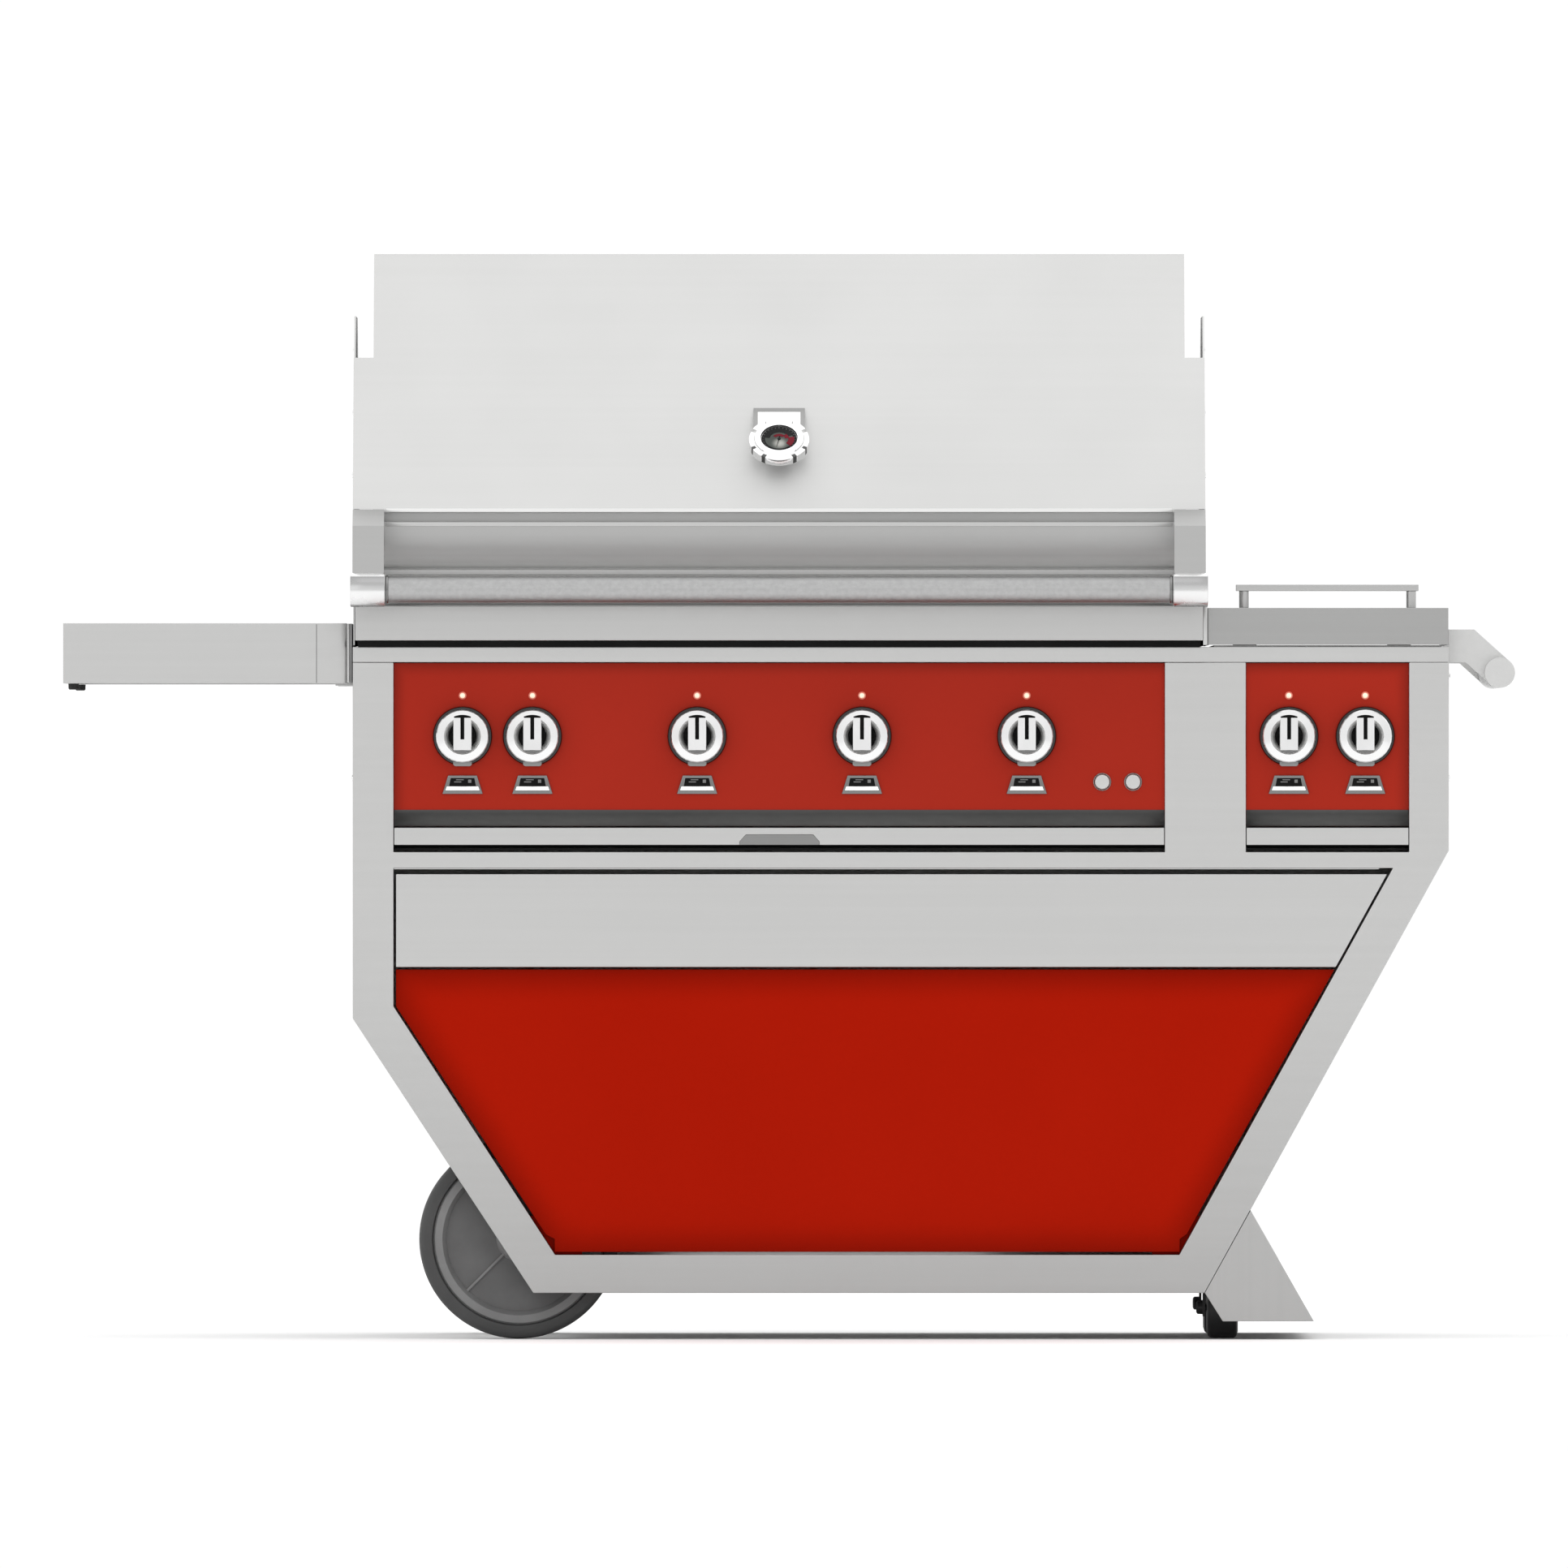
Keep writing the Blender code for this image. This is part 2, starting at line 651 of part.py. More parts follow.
def large_wheels():
    bore, width = AXLE_RADIUS + 0.0007, WHEEL_HALF_WIDTH
    half = [
        (bore, width),
        (0.021, width),
        (0.024, 0.007),
        (0.092, 0.007),
        (0.095, 0.016),
        (0.1065, 0.018),
        (0.1100, width - 0.001),
        (0.1190, width - 0.001),
        (WHEEL_RADIUS, 0.013),
    ]
    profile = half + [(radius, -height) for radius, height in reversed(half)]
    for end, y in zip(("front", "rear"), WHEEL_Y):
        place = (WHEEL_X, y, WHEEL_RADIUS)
        wheel = turned("wheel_" + end, profile, place, (0, -1, 0), RUBBER, steps=40, closed=True)
        on_axis("wheel_" + end + "_axis", place, wheel)
    axle_y = (WHEEL_Y[0] - 0.018, WHEEL_Y[1] + 0.018)
    ends = [(WHEEL_X, y, WHEEL_RADIUS) for y in axle_y]
    rod("wheel_axle", *ends, AXLE_RADIUS, INNER_STEEL)


def casters():
    leg_inner, leg_outer = 0.0215, 0.0245
    for end, y in zip(("front", "rear"), CASTER_Y):
        wheel_y = y + CASTER_TRAIL
        name = "caster_fork_" + end
        crown_y = (y - 0.020, wheel_y + 0.014)
        fork = block(name, (CASTER_X - leg_outer, CASTER_X + leg_outer), crown_y, (0.080, 0.087), RUBBER)
        for side in (-1, 1):
            leg_x = sorted((CASTER_X + side * leg_inner, CASTER_X + side * leg_outer))
            leg_y = (wheel_y - 0.012, wheel_y + 0.012)
            join(fork, block(name + f"_leg_{side}", leg_x, leg_y, (0.027, 0.083), RUBBER))
        kingpin = rod(name + "_kingpin", (CASTER_X, y, 0.082), (CASTER_X, y, 0.0955), 0.014, RUBBER)
        axle_ends = [(CASTER_X + side * (leg_outer + 0.002), wheel_y, CASTER_RADIUS) for side in (-1, 1)]
        join(fork, kingpin, rod(name + "_axle", *axle_ends, 0.004, RUBBER))
        half = [(0.0048, 0.0195), (0.030, 0.0195), (0.036, 0.0175), (CASTER_RADIUS, 0.0145)]
        profile = half + [(radius, -height) for radius, height in reversed(half)]
        place = (CASTER_X, wheel_y, CASTER_RADIUS)
        wheel = turned("caster_wheel_" + end, profile, place, (1, 0, 0), RUBBER, steps=28, closed=True)
        on_axis(name + "_axis", (CASTER_X, y, CASTER_PLATE_BOTTOM), fork)
        on_axis("caster_wheel_" + end + "_axis", place, wheel)


# Head.


def firebox():
    """The head's rail of folded sheet, the trough that it carries, and the low wall along its back."""
    front, back, half, wall = FIREBOX_FRONT, FIREBOX_BACK, FIREBOX_HALF, FIREBOX_WALL
    box = block("firebox", head_span(HEAD_HALF), (-0.300, 0.345), (RAIL_BOTTOM, RAIL_TOP))
    spacer = block("firebox_spacer", head_span(0.512), (-0.275, 0.330), (DECK_TOP + AIR, RAIL_BOTTOM + 0.001))
    join(box, spacer)
    under_y = (-0.275 + wall, 0.330 - wall)
    under = block("firebox_under", head_span(0.512 - wall), under_y, (0.850, RAIL_TOP - wall))
    fold_z = (RAIL_BOTTOM + wall, RAIL_TOP - wall)
    fold = block("firebox_fold", head_span(HEAD_HALF - wall), (-0.300 + wall, 0.345 - wall), fold_z)
    cut(box, under, fold)
    rear_wall = block("firebox_rear_wall", head_span(HEAD_HALF), (0.341, 0.345), (RAIL_TOP - 0.002, 0.966))
    rim = 0.9135
    trough = [(front, rim), (front, 0.715), (-0.120, 0.660), (0.180, 0.660), (back, 0.715), (back, rim)]
    join(box, rear_wall, slab("firebox_trough", trough, "X", head_span(half)))
    hollow = [
        (front + wall, 0.930),
        (front + wall, 0.716),
        (-0.1190, 0.660 + wall),
        (0.1790, 0.660 + wall),
        (back - wall, 0.716),
        (back - wall, 0.930),
    ]
    cut(box, slab("firebox_hollow", hollow, "X", head_span(half - wall)))
    cut(box, block("firebox_drain", head_span(0.360), (-0.070, 0.130), (0.64, 0.68)))
    for key in MAIN_BURNERS:
        centre = (KNOB_X[key], front, KNOB_Z)
        cut(box, hole_along_y("firebox_hole_" + key, centre, 0.0125, reach=0.008))


def head_side_plates():
    behind_ears = 0.020
    outline = [
        (-0.282, 0.8660),
        (-0.282, HOOD_PANEL_BOTTOM),
        (panel_y(1.2785) + behind_ears, 1.2785),
        (0.060, 1.2785),
        (0.240, 1.120),
        (0.340, 1.020),
        (0.340, 0.8660),
    ]
    for side, word in ((-1, "left"), (1, "right")):
        x = sorted((HEAD_X + side * (HEAD_HALF + AIR), HEAD_X + side * 0.5315))
        plate = slab("hood_side_plate_" + word, outline, "X", x)
        ends = [(HEAD_X + side * reach, *HOOD_PIVOT[1:]) for reach in (0.520, 0.540)]
        cut(plate, rod("plate_bore_" + word, *ends, 0.0083))
        profile = [(0, 0.0020), (0.0120, 0.0020), (0.0120, AIR), (0.0080, AIR), (0.0080, -0.036), (0, -0.036)]
        place = (HEAD_X + side * 0.5315, *HOOD_PIVOT[1:])
        turned("hood_pivot_pin_" + word, profile, place, (side, 0, 0), INNER_STEEL, steps=20)


def panel_y(z):
    """Y of the hood's slanted front panel at a height."""
    return HOOD_PANEL_FRONT + (z - HOOD_PANEL_BOTTOM) * HOOD_LEAN


def hood_outline():
    """The hood's side view, (y, z): a lip behind the handle, a roll, then the panel and the back."""
    lower = [(-0.270, 0.919), (-0.270, 0.950), (-0.284, 0.955), (-0.284, 0.960)]
    roll = []
    for step in range(8):
        turn = math.radians(70 - 10 * step)
        roll.append((-0.303 + 0.040 * (1 - math.cos(turn)), 1.015 - 0.055 * math.sin(turn)))
    upper = [
        (-0.303, 1.020),
        (-0.290, 1.0205),
        (-0.290, 1.0315),
        (HOOD_PANEL_FRONT, 1.032),
        (HOOD_PANEL_FRONT, HOOD_PANEL_BOTTOM),
        (panel_y(HOOD_TOP), HOOD_TOP),
        (0.120, HOOD_TOP),
        (0.330, 1.100),
        (0.330, 0.970),
        (0.302, 0.970),
    ]
    return lower, roll, upper


def hood():
    lower, roll, upper = hood_outline()
    inside = [
        (0.327, 0.900),
        (0.327, 1.0990),
        (0.1186, 1.3535),
        (panel_y(1.3535) + 0.0035, 1.3535),
        (panel_y(1.0400) + 0.0035, 1.0400),
        (-0.2868, 1.0345),
        (-0.2868, 0.9850),
        (-0.2672, 0.9580),
        (-0.2672, 0.9000),
    ]
    outer = lower + roll + upper[:-1] + [(0.120, 0.970), (0.120, 0.919)]
    shell = slab("hood_shell", outer, "X", head_span(HOOD_HALF))
    ears = [
        (HOOD_PANEL_FRONT, HOOD_PANEL_BOTTOM),
        (panel_y(EAR_TOP), EAR_TOP),
        (panel_y(EAR_TOP) + EAR_BACK, EAR_TOP),
        (HOOD_PANEL_FRONT + EAR_BACK, HOOD_PANEL_BOTTOM),
    ]
    join(shell, slab("hood_ears", ears, "X", head_span(EAR_HALF)))
    cut(shell, slab("hood_hollow", inside, "X", head_span(HOOD_INNER_HALF)))
    for side, word in ((-1, "left"), (1, "right")):
        ends = [(HEAD_X + side * reach, *HOOD_PIVOT[1:]) for reach in (0.480, 0.520)]
        cut(shell, rod("hood_bore_" + word, *ends, 0.0086))
    return shell


def hood_handle():
    bracket_outline = [
        (-0.3033, 1.0355),
        (-0.3120, 1.0355),
        (-0.3450, 1.0150),
        (-0.3560, 0.9560),
        (-0.3450, 0.9400),
        (-0.3300, 0.9480),
        (-0.3033, 0.9850),
    ]
    brackets = []
    for side, word in ((-1, "left"), (1, "right")):
        x = sorted((HEAD_X + side * (CAP_INNER + 0.0013), HEAD_X + side * 0.5319))
        bracket = slab("handle_bracket_" + word, bracket_outline, "X", x, CHROME)
        ends = [(HEAD_X + side * reach, HANDLE_Y, HANDLE_Z) for reach in (CAP_INNER, CAP_OUTER)]
        brackets.append(join(bracket, rod("handle_cap_" + word, *ends, CAP_RADIUS, CHROME, sides=32)))
    reach = CAP_INNER - AIR
    wall = [(HANDLE_RADIUS, reach), (HANDLE_RADIUS, -reach), (0.0145, -reach), (0.0145, reach)]
    place = (HEAD_X, HANDLE_Y, HANDLE_Z)
    tube = turned("hood_handle_tube", wall, place, (1, 0, 0), steps=32, closed=True)
    return [*brackets, tube]


def thermometer():
    """A wedge on the hood's panel that turns the dial up towards the cook, with an eight-lobed bezel."""
    tilt = math.radians(46.5)
    normal = Vector((0, -math.cos(tilt), math.sin(tilt)))
    wedge = [
        (panel_y(1.1625) - AIR, 1.1625),
        (-0.2460, 1.1520),
        (-0.2900, 1.1080),
        (panel_y(1.1030) - AIR, 1.1030),
    ]
    housing = slab("thermometer_housing", wedge, "X", head_span(0.032), CHROME)
    centre = Vector((HEAD_X, -0.2800, 1.1170))
    profile = [
        (0, 0.0085),
        (0.0228, 0.0085),
        (0.0240, 0.0105),
        (0.0310, 0.0100),
        (0.0368, 0.0050),
        (0.0372, 0.0005),
        (0.0230, -0.0030),
        (0, -0.0030),
    ]
    join(housing, turned("thermometer_bezel", profile, centre, normal, CHROME, steps=32))
    return housing


def grates():
    width, gap = 0.323, 0.003
    for i, word in enumerate(("left", "middle", "right")):
        middle = HEAD_X + (i - 1) * (width + gap)
        x = (middle - width / 2, middle + width / 2)
        y = (FIREBOX_FRONT + 0.010, FIREBOX_BACK - 0.010)
        openings = slots((x[0] + 0.006, x[1] - 0.006), (y[0] + 0.012, y[1] - 0.012), 12, 0.0150)
        slab("cooking_grate_" + word, rectangle(x, y), "Z", (0.860, 0.871), CAST, holes=list(openings))


def burners():
    for number, key in enumerate(MAIN_BURNERS, 1):
        x = KNOB_X[key]
        name = f"main_burner_{number}"
        body = block(name, (x - 0.030, x + 0.030), (-0.150, 0.250), (0.741, 0.764), INNER_STEEL)
        neck = rod(name + "_neck", (x, -0.1955, KNOB_Z), (x, -0.148, KNOB_Z), 0.0110, INNER_STEEL)
        join(body, neck)
    y = (FIREBOX_FRONT + 0.012, FIREBOX_BACK - 0.012)
    gaps = list(slots(head_span(0.470), (y[0] + 0.02, y[1] - 0.02), 9, 0.030))
    outline = rectangle(head_span(0.485), y)
    slab("radiant_tray", outline, "Z", (0.800, 0.804), INNER_STEEL, holes=gaps)


def cooking_extras():
    rack_x, rack_y = head_span(0.470), (0.060, 0.210)
    bars = list(slots(rack_y, (rack_x[0] + 0.012, rack_x[1] - 0.012), 6, 0.018))
    bars = [[(v, u) for u, v in ring] for ring in bars]
    rack = slab("warming_rack", rectangle(rack_x, rack_y), "Z", (1.040, 1.045), holes=bars)
    for side, word in ((-1, "left"), (1, "right")):
        x = sorted((HEAD_X + side * 0.470, HEAD_X + side * 0.466))
        for end, leg_y in (("front", (0.062, 0.072)), ("rear", (0.198, 0.208))):
            join(rack, block(f"rack_leg_{word}_{end}", x, leg_y, (0.8715, 1.042)))
    burner = block("rear_infrared_burner", head_span(0.300), (0.244, 0.298), (0.9153, 1.000), INNER_STEEL)
    face = block("infrared_recess", head_span(0.280), (0.235, 0.250), (0.930, 0.985))
    plenum = block("infrared_plenum", head_span(0.297), (0.253, 0.305), (0.9183, 0.997))
    cut(burner, face, plenum)


def gas_manifold():
    pipe_z = (KNOB_Z - 0.012, KNOB_Z + 0.012)
    manifold = block("gas_manifold", (-0.440, 0.7450), (-0.220, -0.196), pipe_z, BRASS)
    for key, x in KNOB_X.items():
        valve_y, valve_z = (STEM_END + 0.0005, -0.215), (KNOB_Z - 0.018, KNOB_Z + 0.018)
        join(manifold, block("valve_" + key, (x - 0.013, x + 0.013), valve_y, valve_z))
    inlet_x = 0.735
    inlet_ends = [(inlet_x, -0.200, KNOB_Z), (inlet_x, 0.180, KNOB_Z)]
    join(manifold, rod("gas_inlet", *inlet_ends, 0.008, BRASS))


def side_burner():
    flange = (0.8643, 0.8663)
    pan = block("side_burner_pan", (0.549, 0.796), (-0.191, 0.291), (0.800, 0.865), INNER_STEEL)
    join(pan, block("pan_flange", (0.530, 0.815), (-0.270, 0.366), flange, INNER_STEEL))
    for word, x in (("left", (0.560, 0.590)), ("right", (0.755, 0.785))):
        join(pan, block("lid_stand_" + word, x, (0.348, 0.360), (0.8650, 0.9065), INNER_STEEL))
    cut(pan, block("pan_inside", (0.551, 0.794), (-0.189, 0.289), (0.802, 0.88)))
    pin_ends = [(x, *LID_PIVOT[1:]) for x in (0.550, 0.795)]
    cut(pan, rod("lid_stand_bore", *pin_ends, 0.0036, sides=12))

    head = [(0, 0.030), (0.040, 0.030), (0.045, 0.026), (0.045, 0.016), (0.030, 0.012), (0.030, 0), (0, 0)]
    for word, y in zip(("front", "rear"), SIDE_BURNER_Y):
        turned("side_burner_" + word, head, (SIDE_BURNER_X, y, 0.8023), (0, 0, 1), CAST, steps=28)
    grate_x, grate_y = (0.556, 0.789), (-0.184, 0.284)
    slot_x, slot_y = (grate_x[0] + 0.008, grate_x[1] - 0.008), (grate_y[0] + 0.012, grate_y[1] - 0.012)
    openings = list(slots(slot_x, slot_y, 7, 0.022))
    slab("side_burner_grate", rectangle(grate_x, grate_y), "Z", (0.850, 0.858), CAST, holes=openings)

    lid_y, lid_z = (CART_FRONT, 0.345), (0.8668, 0.9128)
    lid = block("side_burner_lid", (LID_LEFT, LID_RIGHT), lid_y, lid_z)
    inside_x = (LID_LEFT + SHEET, LID_RIGHT - SHEET)
    inside = block("lid_inside", inside_x, (lid_y[0] + SHEET, lid_y[1] - SHEET), (0.85, lid_z[1] - SHEET))
    rear_relief = block("lid_rear_relief", (0.51, 0.84), (0.335, 0.36), (0.85, 0.885))
    cut(lid, inside, rear_relief)
    for word, x in (("left", (0.600, 0.615)), ("right", (0.730, 0.745))):
        join(lid, block("lid_tab_" + word, x, (0.3440, 0.3555), (0.898, 0.902)))
    rod_ends = [(x, *LID_PIVOT[1:]) for x in (0.562, 0.783)]
    join(lid, rod("lid_rod", *rod_ends, 0.0030, sides=12))

    bar_y = (-0.262, -0.244)
    handle = block("lid_handle", (0.5577, 0.7857), bar_y, (0.934, 0.942), CHROME)
    for word, x in (("left", 0.5678), ("right", 0.7766)):
        post_ends = [(x, -0.253, 0.9131), (x, -0.253, 0.937)]
        join(handle, rod("lid_handle_post_" + word, *post_ends, 0.0061, CHROME))
    on_axis("side_burner_lid_axis", LID_PIVOT, lid, handle)


def shelf_plan(inset=0.0):
    """The shelf from above. Its front edge curves back to meet the cart."""
    outer, inner, back = -0.9062 + inset, -0.5525 - inset, 0.300 - inset
    corner_x, corner_y = -0.627, CART_FRONT + inset
    sweep = 0.010
    points = [(outer, back), (outer, corner_y)]
    for step in range(7):
        turn = math.radians(90 * step / 6)
        run, rise = math.sin(turn), 1 - math.cos(turn)
        points.append((corner_x + (inner - corner_x) * run, corner_y + sweep * rise))
    points.append((inner, back))
    return points


def left_shelf():
    shelf = slab("left_shelf", shelf_plan(), "Z", (SHELF_BOTTOM, SHELF_TOP))
    cut(shelf, slab("shelf_inside", shelf_plan(0.003), "Z", (SHELF_BOTTOM - 0.01, SHELF_TOP - 0.003)))
    x, _, z = SHELF_PIVOT
    for word, y in (("front", (-0.160, -0.156)), ("rear", (0.250, 0.254))):
        rib = block("shelf_rib_" + word, (-0.600, -0.5535), y, (SHELF_BOTTOM, SHELF_TOP - 0.002))
        join(shelf, rib)
    cut(shelf, rod("shelf_bore", (x, -0.170, z), (x, 0.264, z), 0.0048, sides=12))
    for word, y in zip(("front", "rear"), SHELF_HINGE_Y):
        notch = block("shelf_notch_" + word, (-0.556, -0.540), (y - 0.018, y + 0.018), (0.80, 0.852))
        cut(shelf, notch)
    on_axis("left_shelf_axis", SHELF_PIVOT, shelf)

    hinge = rod("shelf_hinge", (x, -0.166, z), (x, 0.260, z), 0.0040, INNER_STEEL, sides=12)
    for word, y in zip(("front", "rear"), SHELF_HINGE_Y):
        arm_x, arm_y, arm_z = (x - 0.008, CART_LEFT - AIR), (y - 0.015, y + 0.015), (z - 0.010, z + 0.010)
        join(hinge, block("shelf_arm_" + word, arm_x, arm_y, arm_z, INNER_STEEL))


def build():
    front_frame()
    cart_panels()
    top_deck()
    control_panels()
    knobs()
    buttons()
    trays_and_drawer()
    door()
    push_handle()
    right_foot()
    large_wheels()
    casters()
    firebox()
    head_side_plates()
    on_axis("hood_axis", HOOD_PIVOT, hood(), thermometer(), *hood_handle())
    grates()
    burners()
    cooking_extras()
    gas_manifold()
    side_burner()
    left_shelf()


build()
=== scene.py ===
"""Looks for the gas barbecue grill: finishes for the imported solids, and the fine pieces that ride on them.

Metres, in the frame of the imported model: +X to the grill's right, front towards -Y, floor at Z = 0.
"""
import json
import math

import bmesh
import bpy
from mathutils import Matrix, Vector

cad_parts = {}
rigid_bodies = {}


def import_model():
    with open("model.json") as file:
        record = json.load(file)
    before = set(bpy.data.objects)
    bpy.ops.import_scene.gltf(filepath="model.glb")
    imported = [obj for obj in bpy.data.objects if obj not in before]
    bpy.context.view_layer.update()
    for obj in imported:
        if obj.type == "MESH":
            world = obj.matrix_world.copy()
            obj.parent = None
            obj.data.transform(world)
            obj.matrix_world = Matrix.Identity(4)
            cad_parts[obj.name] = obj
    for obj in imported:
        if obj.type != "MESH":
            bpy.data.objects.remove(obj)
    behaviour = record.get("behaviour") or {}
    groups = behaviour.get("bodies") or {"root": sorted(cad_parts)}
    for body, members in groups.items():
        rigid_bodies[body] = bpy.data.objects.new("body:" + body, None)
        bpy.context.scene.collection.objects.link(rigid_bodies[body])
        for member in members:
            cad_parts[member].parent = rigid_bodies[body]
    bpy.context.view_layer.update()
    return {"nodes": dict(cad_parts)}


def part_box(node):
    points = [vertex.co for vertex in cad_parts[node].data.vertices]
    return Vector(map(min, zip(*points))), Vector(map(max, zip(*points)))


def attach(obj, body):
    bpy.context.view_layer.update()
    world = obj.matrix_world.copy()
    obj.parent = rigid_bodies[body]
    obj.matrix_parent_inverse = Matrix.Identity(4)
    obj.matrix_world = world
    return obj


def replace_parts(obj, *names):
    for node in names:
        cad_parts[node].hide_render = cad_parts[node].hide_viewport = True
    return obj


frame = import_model()

NODES = frame["nodes"]
KNOBS = ("rotisserie", "burner_1", "burner_2", "burner_3", "burner_4", "side_front", "side_rear")
CART = "cart"

# Places that several pieces share.
PANEL_LOW, PANEL_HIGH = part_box("control_panel_main")
SIDE_PANEL_LOW, SIDE_PANEL_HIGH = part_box("control_panel_side")
HOOD_LOW, HOOD_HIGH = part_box("hood_shell")
PANEL_FACE = PANEL_LOW.y
HEAD_X = (HOOD_LOW.x + HOOD_HIGH.x) / 2
HOOD_LEAN = math.radians(30)
SIDES = ((-1, "left"), (1, "right"))
ENDS = ("front", "rear")


def middle(node):
    low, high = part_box(node)
    return (low + high) / 2


# Finishes.


def shader_of(finish):
    return finish.node_tree.nodes["Principled BSDF"]


def set_even(finish, **sockets):
    """Sets even values on the shader's own sockets. A name's _ stands for a space."""
    for socket, value in sockets.items():
        shader_of(finish).inputs[socket.replace("_", " ")].default_value = value


def principled(name, colour, roughness, metallic=0.0):
    """A material with one Principled shader."""
    finish = bpy.data.materials.new(name)
    finish.use_nodes = True
    set_even(finish, Base_Color=(*colour, 1), Roughness=roughness, Metallic=metallic)
    return finish


def add_node(finish, kind, **values):
    """A node of a kind, with values for itself and for its sockets, whose names' _ stand for spaces."""
    node = finish.node_tree.nodes.new(kind)
    for key, value in values.items():
        socket = key.replace("_", " ")
        if socket in node.inputs:
            node.inputs[socket].default_value = value
        else:
            setattr(node, key, value)
    return node


def connect(finish, start, end):
    finish.node_tree.links.new(start, end)


def object_space(finish):
    return add_node(finish, "ShaderNodeTexCoord").outputs["Object"]


def noise_at(finish, scale, detail=2.0, stretch=(1, 1, 1)):
    """Noise in the object's own space, stretched along its grain."""
    mapping = add_node(finish, "ShaderNodeMapping", Scale=tuple(scale * s for s in stretch))
    noise = add_node(finish, "ShaderNodeTexNoise", Scale=1.0, Detail=detail)
    connect(finish, object_space(finish), mapping.inputs["Vector"])
    connect(finish, mapping.outputs["Vector"], noise.inputs["Vector"])
    return noise.outputs["Fac"]


def spread(finish, value, start, end, **settings):
    """A value between start and end, spread from 0 to 1 unless the settings say otherwise."""
    span = add_node(finish, "ShaderNodeMapRange", From_Min=start, From_Max=end, **settings)
    connect(finish, value, span.inputs["Value"])
    return span.outputs["Result"]


def ramp_over(finish, factor, stops):
    """A colour ramp through (position, colour) stops."""
    ramp = add_node(finish, "ShaderNodeValToRGB")
    elements = ramp.color_ramp.elements
    while len(elements) < len(stops):
        elements.new(0.5)
    for element, (position, colour) in zip(elements, stops):
        element.position = position
        element.color = (*colour, 1)
    connect(finish, factor, ramp.inputs["Fac"])
    return ramp.outputs["Color"]


def drive_roughness(finish, factor, low, high):
    """Varies the roughness between two values, with the middle of a noise's range."""
    varied = spread(finish, factor, 0.3, 0.7, To_Min=low, To_Max=high)
    connect(finish, varied, shader_of(finish).inputs["Roughness"])


def drive_colour(finish, factor, dark, light, low=0.35, high=0.65):
    """Varies the colour between two, between a noise's low and high."""
    varied = ramp_over(finish, factor, ((low, dark), (high, light)))
    connect(finish, varied, shader_of(finish).inputs["Base Color"])


def drive_bump(finish, height, strength, distance):
    bump = add_node(finish, "ShaderNodeBump", Strength=strength, Distance=distance)
    connect(finish, height, bump.inputs["Height"])
    connect(finish, bump.outputs["Normal"], shader_of(finish).inputs["Normal"])


def multiply_colour(finish, shade):
    """Multiplies what drives the colour by a shade."""
    colour = shader_of(finish).inputs["Base Color"]
    blend = add_node(finish, "ShaderNodeMix", data_type="RGBA", blend_type="MULTIPLY", Factor=1.0)
    connect(finish, colour.links[0].from_socket, blend.inputs["A"])
    connect(finish, shade, blend.inputs["B"])
    connect(finish, blend.outputs["Result"], colour)


def paint_shading_by_height(finish, stops):
    """Paints light and shade into a finish by height in the object's own space, for where sheet steel turns
    towards the ground or the sky.
    """
    low, high = stops[0][0], stops[-1][0]
    split = add_node(finish, "ShaderNodeSeparateXYZ")
    connect(finish, object_space(finish), split.inputs["Vector"])
    span = spread(finish, split.outputs["Z"], low, high)
    shades = [((height - low) / (high - low), (shade, shade, shade)) for height, shade in stops]
    multiply_colour(finish, ramp_over(finish, span, shades))


def paint_edge_shade(finish, lines, width, shade):
    """Paints shade into a flat panel near its edges, as a recess would shade it. A line is a point (x, z) on
    an edge and its way inwards (x, z).
    """
    place = object_space(finish)
    nearest = None
    for x, z, inward_x, inward_z in lines:
        length = math.hypot(inward_x, inward_z)
        offset = add_node(finish, "ShaderNodeVectorMath", operation="SUBTRACT")
        offset.inputs[1].default_value = (x, 0, z)
        reach = add_node(finish, "ShaderNodeVectorMath", operation="DOT_PRODUCT")
        reach.inputs[1].default_value = (inward_x / length, 0, inward_z / length)
        connect(finish, place, offset.inputs[0])
        connect(finish, offset.outputs["Vector"], reach.inputs[0])
        if nearest is None:
            nearest = reach.outputs["Value"]
            continue
        least = add_node(finish, "ShaderNodeMath", operation="SMOOTH_MIN")
        least.inputs[2].default_value = width * 0.5
        connect(finish, nearest, least.inputs[0])
        connect(finish, reach.outputs["Value"], least.inputs[1])
        nearest = least.outputs["Value"]
    span = spread(finish, nearest, -width * 0.15, width, interpolation_type="SMOOTHERSTEP")
    multiply_colour(finish, ramp_over(finish, span, ((0, (shade, shade, shade)), (1, (1, 1, 1)))))


def paint_light_around(finish, centre, reach, light):
    """Paints light into a finish around one point in the object's own space."""
    colour = shader_of(finish).inputs["Base Color"]
    away = add_node(finish, "ShaderNodeVectorMath", operation="DISTANCE")
    away.inputs[1].default_value = centre
    connect(finish, object_space(finish), away.inputs[0])
    span = spread(finish, away.outputs["Value"], 0, reach, interpolation_type="SMOOTHERSTEP")
    blend = add_node(finish, "ShaderNodeMix", data_type="RGBA", A=(*light, 1))
    connect(finish, span, blend.inputs["Factor"])
    connect(finish, colour.links[0].from_socket, blend.inputs["B"])
    connect(finish, blend.outputs["Result"], colour)


GRAINS = {"x": (0.01, 1, 1), "y": (1, 0.01, 1), "z": (1, 1, 0.01)}


